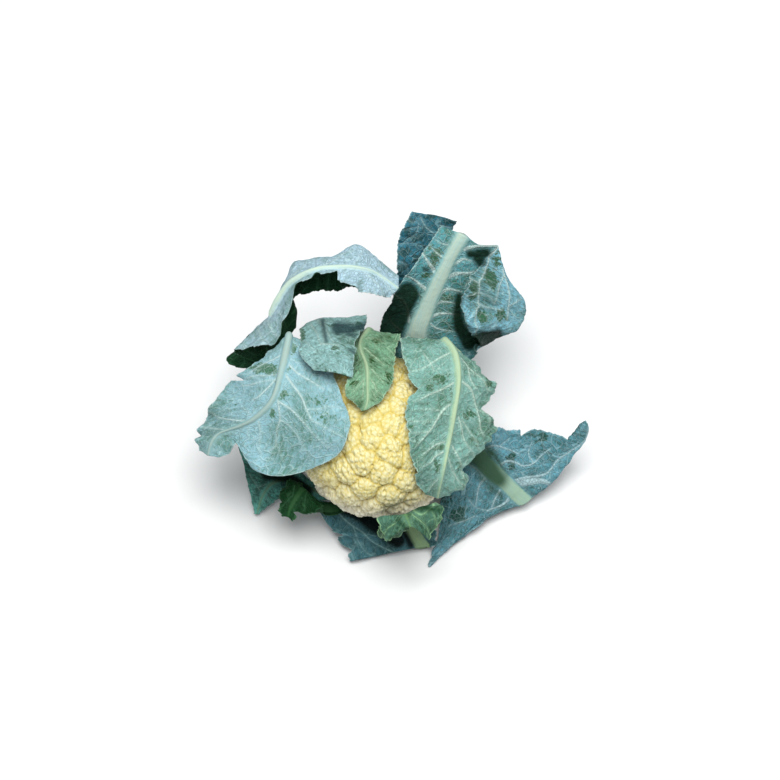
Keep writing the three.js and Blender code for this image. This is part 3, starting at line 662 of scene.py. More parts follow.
def grown_veins(leaf, along, across):
    """Gaps and half widths of the veins that a leaf grows by rule: side veins leave the rib by turns,
    slant towards the tip, bend and thin out, and twigs cross between them here and there."""
    pitch, slant, thick = leaf["veins"]
    draw = np.random.default_rng(leaf["seed"])
    wander = 2.6 * ripple(along, across, 30, leaf["seed"] + 2)
    off = np.abs(across)
    sides, twigs = [], []
    for side in (-1, 1):
        back = along - slant * off - 0.0035 * off ** 2 * slant + wander * np.minimum(off / 15, 1)
        start = np.arange(-8 * pitch, along.max() + pitch, pitch) + (0.5 * pitch if side > 0 else 0)
        start = start + draw.uniform(-0.28, 0.28, len(start)) * pitch
        k = np.clip(np.searchsorted(start, back), 1, len(start) - 1)
        to_vein = np.minimum(np.abs(back - start[k - 1]), np.abs(start[k] - back)) / math.hypot(1, slant)
        sides.append(to_vein)
        crossing = along + 0.8 * off + 5 * np.sin(off / 11 + side) + 2 * wander
        between = 11 + 2 * side
        place = crossing / between + 0.25 * np.sin(off / 9 + 2 * side)
        twig = np.abs(place % 1 - 0.5) * between / 1.5
        gate = ripple(along, across, 26, leaf["seed"] + 6 + side) > -0.1
        twigs.append(twig - 0.2 + np.where(gate, 0, 3))
    half = 0.2 + (thick - 0.2) * np.clip(1 - off / 70, 0, 1) ** 1.3
    return np.where(across < 0, *sides) - half, half, np.where(across < 0, *twigs)


def vein_gaps(leaf, along, across, view):
    """Distance from the edge of the nearest main vein, less than 0 inside it, that vein's half width,
    and the distance from the nearest fine one. Main veins are the drawn lines where a leaf has them,
    and then the grown side veins are fine ones too, closer together."""
    if "lines" not in leaf:
        return grown_veins(leaf, along, across)
    pitch, slant, thick = leaf["veins"]
    side, _, twig = grown_veins({**leaf, "veins": (pitch * 0.6, slant, 0.3)}, along, across)
    gap, half = line_gaps(view.reshape(-1, 2), leaf["lines"])
    fade = 1.5 * np.clip(ripple(along, across, 36, leaf["seed"] + 3) + 0.2, 0, 1)
    return gap.reshape(across.shape), half.reshape(across.shape), np.minimum(side + fade, twig)


def patch_cover(view, patches):
    """How far patches cover each place, 0 to 1: each is an ellipse given by its middle, its half
    sizes and its strength, and falls off evenly from its middle to twice its half sizes."""
    cover = np.zeros(view.shape[:-1])
    for across, up, half_across, half_up, strength in patches:
        reach = np.hypot((view[..., 0] - across) / half_across, (view[..., 1] - up) / half_up)
        reach = reach + 0.25 * ripple(view[..., 0], view[..., 1], 11, 77)
        cover = np.maximum(cover, strength * np.clip(1 - reach / 2, 0, 1))
    return cover


def shade_stroke_cover(view, strokes, fall):
    """How far broad soft strokes of painted shade cover each place, 0 to 1: the usual smooth step of
    the distance from a stroke's edge, over that fall in millimetres."""
    if not strokes:
        return np.zeros(view.shape[:-1])
    gap, _ = line_gaps(view.reshape(-1, 2), strokes)
    share = np.clip(0.5 - gap.reshape(view.shape[:-1]) / fall, 0, 1)
    return share ** 2 * (3 - 2 * share)


def leaf_shell(leaf):
    """A leaf's closed surface. The sheet is moved along its normal by a sine wave that grows to the
    margin, a frill at the margin, a slow roll, and blisters that puff up between the veins. An upper
    and a lower face lie half the thickness to either side, the lower one swelling as a parabola at
    the rib and in small ridges at the veins, the upper one sunk or crested there. A strip closes
    them all round. Also gives what the finish reads: distances from the veins, the rib and the edge,
    the cover of patches and shade, which face it is, and the flat place in units of 100 mm."""
    points, t, along, across, half, share, rib_half, foot, last = leaf_sheet(leaf)
    rows, columns = across.shape
    side_half = np.where(across < 0, half[0][:, None], half[1][:, None])
    far = np.abs(across) / np.maximum(side_half, 1)
    to_edge = side_half - np.abs(across)
    run = np.broadcast_to(along[:, None], across.shape)
    blade = np.clip(run / 20, 0, 1) * np.clip((np.abs(across) - rib_half[:, None]) / 6, 0, 1)
    height, count, phase = leaf["wave"]
    s = np.clip((t - foot) / (last - foot), 0, 1)[:, None]
    turn = 2 * np.pi * (count * s + phase + 0.37 * (across > 0))
    wave = height * np.minimum(1, 4 * s) * np.abs(share) ** 2 * np.sin(turn)
    view = np.stack([points[..., 0], points[..., 1] * math.sin(LEAN)
                     + (points[..., 2] - HEAD_MIDDLE) * math.cos(LEAN)], axis=-1)
    gap, width, fine = vein_gaps(leaf, run, across, view)
    flat = np.stack([run.ravel(), across.ravel()], axis=1)
    bent = [flat[:, k] + 3 * ripple(flat[:, 0], flat[:, 1], 16, k + 1) for k in (0, 1)]
    near, _ = scattered_cells(np.stack(bent, axis=1), BLISTER_SIZE, leaf["seed"])
    puff = 1 - np.exp(-np.maximum(np.minimum(gap, fine + 0.6), 0) / 3.5)
    puff = puff * (0.9 + 0.5 * ripple(run, across, 22, leaf["seed"] + 9))
    puff = puff + 0.4 * dome(near[0] / 0.85).reshape(across.shape)
    frill = leaf.get("frill", 2.2) * far ** 5 * ripple(run, across, 15, leaf["seed"] + 4)
    frill = frill * np.clip(run / 30, 0, 1)
    roll = 1.6 * ripple(run, across, 48, leaf["seed"] + 5) * np.clip(far * 1.5, 0, 1)
    lift = wave + blade * (leaf["blister"] * puff + roll) + frill
    middle = points + facing(points) * lift[..., None]
    normal = facing(middle)
    thick = BLADE_THICKNESS * (0.45 + 0.55 * np.clip(to_edge / 2.5, 0, 1)) / 2
    rib_depth = np.interp(t / last, [0, 1], leaf["rib"][1::2])[:, None]
    in_rib = np.clip(1 - (across / rib_half[:, None]) ** 2, 0, 1)
    ridge = np.clip(1 - ((gap + width) / np.maximum(width, 0.3)) ** 2, 0, 1)
    ridge = ridge * blade * np.minimum(width, 1.2)
    shown = np.clip((along - leaf.get("rib_from", WHOLE_RIB)) / 15, 0, 1)[:, None]
    pale_share = np.interp(t / last, *leaf.get("pale_share", ([0, 1], [0.92, 0.92])))
    crest = leaf.get("crest", 0.25) * shown * in_rib ** 0.8 + leaf.get("crest", -0.6) * 0.5 * ridge
    upper = middle + normal * (thick + crest)[..., None]
    swell = rib_depth * shown * in_rib
    lower = middle - normal * (thick + swell + 0.75 * ridge)[..., None]
    number = np.arange(rows * columns).reshape(rows, columns)
    below = number + rows * columns
    strips = [
        [number[:-1, 0], number[1:, 0], below[1:, 0], below[:-1, 0]],
        [number[:-1, -1], below[:-1, -1], below[1:, -1], number[1:, -1]],
        [number[0, :-1], below[0, :-1], below[0, 1:], number[0, 1:]],
        [number[-1, :-1], number[-1, 1:], below[-1, 1:], below[-1, :-1]],
    ]
    faces = np.concatenate([
        grid_faces(rows, columns), grid_faces(rows, columns, rows * columns)[:, ::-1],
        *[np.stack(strip, axis=-1) for strip in strips],
    ])
    marks = {
        "vein": np.minimum(gap, 12),
        "fine": np.minimum(fine, 12),
        "rib": np.abs(across) - (rib_half * pale_share)[:, None] + 9 * (1 - shown),
        "edge": np.minimum(to_edge, 12),
        "patch": patch_cover(view, leaf.get("patches", [])),
        "shade": shade_stroke_cover(view, leaf.get("shade", []), leaf.get("fall", 6)),
    }
    marks = {key: np.tile(values.ravel(), 2) for key, values in marks.items()}
    marks["under"] = np.repeat([0.0, 1.0], rows * columns)
    points = np.concatenate([upper.reshape(-1, 3), lower.reshape(-1, 3)])
    return points, faces.tolist(), marks, np.tile(flat / 100 + [leaf["seed"] * 0.37, 0], (2, 1))


def leaf_finish(name, leaf):
    """A leaf's skin: blue waxy bloom over green, rubbed off in streaks that follow the side veins and in
    patches, with a net of fine veins, paler main veins, a fibrous pale rib and a thin pale margin.
    Painted shade darkens it towards its worn green in the dips between its puckers. Where strokes of
    shade cover it, the painted shade and shadow of its folds, of gaps and of leaves over it. Either
    face has its own tones. Distances are in millimetres, as leaf_shell gives them."""
    skin = Finish(name, Roughness=0.5, Specular_IOR_Level=0.07)
    upper, under, rib = (tone(*leaf[key]) for key in ("upper", "under", "rib_tone"))
    turned_down = skin.attribute("under")
    green = skin.mix(turned_down, tone(*leaf.get("inner_green", leaf["green"])), tone(*leaf["green"]))
    vein = skin.mix(turned_down, tone(*leaf.get("inner_pale", leaf["pale"])), tone(*leaf["pale"]))
    here = skin.place()
    sheet = skin.node("ShaderNodeUVMap", {"uv_map": "leaf"}, {})
    run = skin.node("ShaderNodeSeparateXYZ", {}, {0: sheet}, "X")
    off = abs(skin.node("ShaderNodeSeparateXYZ", {}, {0: sheet}, "Y"))
    grown = skin.node("ShaderNodeCombineXYZ", {}, {"X": run - 0.7 * off, "Y": off * 0.3})
    bend = skin.vector("SUBTRACT", skin.noise(sheet, 7, 2, out=1), (0.5, 0.5, 0.5))
    warped = skin.vector("ADD", sheet, skin.vector("MULTIPLY", bend, (0.05, 0.05, 0.05)))
    mesh_veins = skin.step(skin.cell_edges(warped, 12.5), 0.07, 0.01)
    fine_veins = skin.step(skin.cell_edges(warped, 32), 0.1, 0.02)
    blade_only = skin.step(skin.attribute("rib"), 0.3, 2.5)
    broad = skin.noise(here, 21, 3)
    mottle = skin.noise(here, 230, 6, 0.6)
    streak = skin.noise(grown, 36, 4, 0.6)
    worn = skin.step(streak + 0.7 * (broad - 0.5), 0.56, 0.68) * leaf["rubbed"]
    cover = skin.attribute("patch") + 1.3 * (streak - 0.5) + 1.2 * (mottle - 0.5)
    covered = skin.step(cover, 0.36, 0.54) * skin.step(skin.attribute("patch"), 0.02, 0.2)
    face = skin.mix(turned_down, upper, under)
    deeper = skin.mix(skin.step(broad, 0.4, 0.68) * 0.4, face, green)
    blade = skin.mix((worn | covered) * blade_only, deeper, green)
    blade = skin.mix(skin.step(mottle, 0.48, 0.66) * 0.38, blade, green)
    # Painted shade: a noise darkens the blade towards its worn green in patches that stand for the shade in
    # the dips between its puckers.
    hollow_shade_noise = skin.noise(warped, 8, 4, 0.6)
    blade = skin.mix(skin.step(hollow_shade_noise, 0.5, 0.66) * leaf.get("hollow_shade", 0.35), blade, green)
    near_vein = skin.step(skin.attribute("vein"), 2.6, 0.0) * 0.3
    near_vein = near_vein | skin.step(skin.attribute("rib"), 6.0, 0.0) * 0.35
    lines = (mesh_veins * 0.34 | fine_veins * 0.2) * leaf.get("net", 1.0) | near_vein
    lines = lines | skin.step(skin.attribute("fine"), 0.4, -0.2) * 0.4
    veined = skin.mix(lines * blade_only, blade, vein)
    veined = skin.mix(skin.step(skin.attribute("vein"), 0.3, -0.3) * blade_only * 0.85, veined, vein)
    fibre = skin.noise(skin.vector("MULTIPLY", sheet, (0.05, 1.0, 1.0)), 90, 3)
    stem = skin.mix(skin.step(fibre, 0.42, 0.66) * 0.3, rib, under)
    side = skin.attribute("rib") + 2.4 * (streak - 0.5) + 1.2 * (fibre - 0.5)
    soft = leaf.get("soft", 1.7)
    ribbed = skin.mix(skin.step(side, soft, -soft), veined, stem)
    margin = skin.step(skin.attribute("edge") + 0.5 * (mottle - 0.5), 1.3, 0.3)
    edged = skin.mix(margin * leaf.get("margin", 0.55), ribbed, vein)
    # Painted shade: where strokes of shade cover the leaf, its colour goes almost wholly to the shade tone,
    # for the shade and shadow of folds, gaps and leaves above it.
    shade_tone = tone(*leaf.get("shade_tone", DEEP_SHADE))
    skin.feed("Base Color", skin.mix(skin.attribute("shade") * 0.96, edged, shade_tone))
    skin.feed("Roughness", 0.42 + 0.2 * mottle + 0.1 * worn)
    relief = (mesh_veins * 0.9 | fine_veins * 0.6) * blade_only + 0.8 * mottle
    relief = relief + 0.3 * fibre * (1 - blade_only)
    skin.bump(relief, leaf.get("relief", 0.0012), 0.9)
    return skin


def make_leaves(leaves):
    """Each leaf's shell and skin, in the place of its solid."""
    for name, leaf in leaves.items():
        points, faces, attributes, flat = leaf_shell(leaf)
        skin = leaf_finish(f"{name}_skin", leaf)
        piece = make_piece(f"{name}_leaf", points, faces, skin, "leaf", attributes, flat)
        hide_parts(f"leaf_{name}")


make_leaves(MANTLES)

# The leaf that arches at the back left
# A long leaf with the same waxy blade grows from the stump and bends over sideways into a tunnel,
# underside out, so that its upper face shows only from below, inside the arch; that face's tones are
# darkened with painted shade for the shade inside the tunnel.
ARCH = {
    "arch_left": {
        "angle": 137, "stalk": [[20, 22, 8], [68, 24, 10], [108, 52, 10], [124, 100, 16]],
        "rib": [8, 8, 1.2, 1], "wave": [2, 7, 0.2],
        "blade": [
            [[-148, 84, 10], [-118, 106, 8], [-128, 101, -10], [-151, 80, -24]],
            [[-132, 89, 28], [-108, 118, 18], [-110, 121, -2], [-134, 66, -24]],
            [[-106, 92, 38], [-101, 134, 26], [-102, 138, 4], [-98, 84, -28]],
            [[-95, 118, 44], [-92, 148, 34], [-94, 156, 8], [-86, 112, -28]],
            [[-86, 142, 50], [-82, 157, 40], [-86, 175, 14], [-91, 137, -18]],
            [[-68, 160, 54], [-64, 165, 46], [-66, 178, 20], [-66, 144, -12]],
            [[-48, 159, 56], [-44, 168, 46], [-46, 180, 20], [-44, 148, -10]],
            [[-28, 149, 54], [-24, 168, 43], [-24, 192, 18], [-20, 147, -8]],
            [[-8, 141, 46], [-5, 163, 36], [-7, 182, 16], [-3, 141, -2]],
            [[9, 137, 34], [18, 148, 28], [18, 160, 18], [14, 141, 8]],
        ],
        "bites": [[-1, 10.1, 0.25, 0.5]],
        "grid": (250, 120), "veins": (19, 0.8, 1.3), "blister": 0.8, "teeth": 2.2, "seed": 31,
        "lines": [
            (1.2, 0.5, (-94.5, 148), (-90, 157), (-79.5, 166.5), (-73, 174.5)),
            (1.2, 0.5, (-69.5, 163), (-56.5, 170), (-45, 175.5), (-36, 182.5)),
            (0.9, 0.4, (-36, 167.5), (-25.5, 172), (-19, 181.5), (-17.5, 188)),
            (1.2, 0.5, (-110.5, 128.5), (-110.5, 113.5), (-106, 104.5), (-100.5, 97.5)),
            (1, 0.5, (-123.5, 111.5), (-117.5, 100), (-113, 87)),
            (0.9, 0.5, (-108.5, 127), (-100.5, 124), (-97, 117), (-93.5, 110)),
            (0.8, 0.4, (-17.5, 166), (-5, 154), (5.5, 140)),
            (0.8, 0.4, (-5, 163.5), (6.5, 152.5), (13.5, 143.5)),
            (0.7, 0.4, (-61.5, 164), (-62.5, 152.5), (-64.5, 145.5)),
            (0.7, 0.4, (-76, 149), (-77.5, 145.5), (-75.5, 140)),
            (0.7, 0.4, (-51, 166.5), (-52, 156), (-52.5, 148)),
            (0.6, 0.3, (-137, 92), (-133.5, 87), (-125.5, 82.5)),
        ],
        # The upper face's tones (upper, inner_green, inner_pale) are painted shade: darkened for the shade
        # inside the arch.
        "rib_from": 42, "inner_green": (14, 46, 24), "inner_pale": (66, 118, 82),
        "upper": (20, 60, 34), "under": (180, 213, 228), "green": (96, 140, 123),
        "pale": (196, 222, 220), "rib_tone": (204, 226, 206), "rubbed": 0.5,
    },
}
make_leaves(ARCH)

# The tall leaves at the back
# Two leaves grow up from the stump behind the head. One has its broad pale rib cut across at the
# top and its right half folded forward, and a bluer one stands behind it. Both show their waxy upper
# faces, with paler veins.
TALL = {
    "fan_back": {
        "angle": 62, "stalk": [[20, 22, 9], [66, 22, 11], [98, 48, 12]],
        "rib": [15, 7.5, 9, 6], "pale_share": ([0.46, 0.6], [1.0, 0.66]), "soft": 3.2,
        "wave": [2.5, 4, 0.5], "crest": 2.2,
        "blade": [
            [[8, 84, -58], [37, 88, -50], [66, 78, -58], [86, 76, -60], [96, 82, -50]],
            [[-2, 110, -28], [38, 108, -30], [80, 94, -46], [112, 96, -44], [97, 98, 0]],
            [[10, 137, -6], [48, 134, -18], [92, 118, -32], [136, 106, -30], [85, 113, 14]],
            [[23, 160, 2], [60, 160, -8], [100, 142, -20], [148, 130, -14], [81, 138, 26]],
            [[43, 187, 6], [72, 184, 0], [104, 172, -8], [130, 158, 0], [91, 158, 28]],
            [[60, 211, 4], [83, 202, 6], [100, 192, 0], [117, 190, 8], [103, 177, 20]],
        ],
        "grid": (200, 230), "veins": (20, 0.45, 2.0), "blister": 1.5, "teeth": 1.6, "seed": 44,
        "lines": [
            (5.0, 1.4, (59, 159), (53.5, 167.5), (47, 176.5), (41.5, 185)),
            (3.8, 1.1, (51.5, 144), (40.5, 152.5), (32, 159), (24.5, 162)),
            (1.8, 0.6, (64.5, 178.5), (55.5, 185), (48, 193.5)),
            (1.5, 0.6, (71, 191.5), (62, 193.5), (55.5, 197)),
            (3.2, 1.2, (29.5, 115.5), (26.5, 131), (21, 138.5), (14.5, 141.5)),
            (2.0, 1.0, (20, 108), (11.5, 114.5), (8, 124.5)),
            (4.5, 0.9, (68.5, 161), (77.5, 164), (88, 164.5), (94.5, 166.5)),
            (4.5, 1.1, (59, 145), (68.5, 148.5), (81.5, 146)),
            (3.0, 0.9, (52.5, 132), (62, 136), (75, 135)),
            (4.0, 0.9, (46, 117.5), (55.5, 123), (66.5, 124.5), (79.5, 123)),
            (2.0, 0.6, (47, 117.5), (54.5, 111), (64.5, 108), (75, 107)),
            (3.2, 0.8, (75, 174), (84, 178.5), (91.5, 176.5)),
            (3.8, 2.0, (84, 188), (92.5, 190.5), (103.5, 191.5), (117.5, 191)),
            (1.5, 0.8, (116.5, 189.5), (106.5, 176.5), (103.5, 161), (98.5, 150.5), (99, 128.5)),
            (1.2, 0.8, (123, 167.5), (127.5, 150.5), (128.5, 128.5), (127.5, 116.5)),
            (1.0, 0.5, (124, 161), (117.5, 148), (114.5, 133)),
            (1.0, 0.5, (98, 153.5), (89.5, 157), (85, 150.5)),
            (1.0, 0.5, (128.5, 131), (135, 135), (141.5, 138.5)),
            (1.2, 0.8, (98, 128.5), (94.5, 115.5), (98, 99.5)),
            (1.0, 0.5, (98, 133), (107.5, 128.5), (123, 126.5)),
            (1.0, 0.5, (87, 139.5), (98, 144), (109, 140.5), (114.5, 133)),
        ],
        "patches": [(55.5, 180, 8, 10, 0.8), (47, 163, 5, 5, 0.7), (68.5, 140.5, 7, 4, 0.8),
            (93.5, 145, 5, 8, 1), (111, 159, 6, 11, 0.9), (117.5, 178, 5, 9, 0.7), (102.5, 119, 4, 6, 1),
            (122, 121, 5, 5, 0.9)],
        # Painted shade and shadow: the shaded lower left of the blade, the fold at the top right, the
        # shadow of the folded flap on the blade, the shade under the flap, and a hole painted as a dark
        # spot.
        "shade": [
            (30, 22, (7, 104), (15, 120), (22, 134), (28, 144)),
            (8, 11, (90, 184), (105, 184)),
            (15, 6, (99, 182), (100, 173)),
            (7, 16, (79, 142), (78, 126), (80, 112), (90, 96)),
            (16, 12, (100, 97), (118, 102)),
            (4, 4, (44, 169), (47, 168)),
        ],
        "shade_tone": (14, 42, 22),
        "upper": (96, 172, 182), "under": (137, 201, 219), "green": (56, 104, 76),
        "pale": (197, 221, 215), "rib_tone": (191, 213, 196), "rubbed": 0.7,
    },
    "tall_back": {
        "angle": 80, "stalk": [[20, 11, 8], [70, 14, 10], [112, 36, 12]],
        "rib": [8, 7, 2, 1.4], "wave": [3, 4, 0.8],
        "blade": [
            [[8, 94, -84], [30, 92, -86], [56, 90, -88]],
            [[14, 130, -56], [37, 129, -60], [68, 126, -70]],
            [[15, 163, -38], [43, 164, -42], [78, 160, -54]],
            [[18, 202, -22], [49, 196, -30], [73, 196, -38]],
            [[30, 226, -14], [54, 223, -22], [78, 218, -26]],
        ],
        "grid": (190, 100), "veins": (16, 0.8, 1.3), "blister": 3.4, "teeth": 1.6, "seed": 52,
        "hollow_shade": 0.8,
        "lines": [
            (1, 0.5, (19, 209), (31, 211), (42.5, 211.5)),
            (1.5, 0.9, (40.5, 220.5), (46, 211), (55.5, 203.5)),
            (0.9, 0.4, (38.5, 215.5), (36, 205.5), (27.5, 199), (22, 193.5)),
            (1.3, 0.9, (60, 213), (66.5, 211.5), (76.5, 210.5)),
            (0.9, 0.4, (19, 193.5), (31, 195.5), (41.5, 192.5)),
            (0.8, 0.4, (18, 178.5), (25.5, 175), (27.5, 167.5)),
            (0.7, 0.3, (24.5, 222), (31, 216.5), (38.5, 217.5)),
        ],
        "rib_from": NO_RIB,
        "patches": [(36, 201, 6, 3, 1), (23, 187, 7, 4, 0.9), (20, 172, 6, 4, 0.9), (30, 217, 6, 3, 0.9),
            (52, 222, 9, 3, 0.9), (48, 188, 6, 5, 0.8), (68, 218, 8, 2.5, 0.9), (27, 208, 4, 3, 0.8),
            (37, 180, 5, 5, 0.8)],
        "upper": (50, 122, 142), "under": (93, 135, 147), "green": (40, 85, 89),
        "pale": (158, 192, 194), "rib_tone": (119, 157, 162), "rubbed": 0.9,
    },
}
make_leaves(TALL)

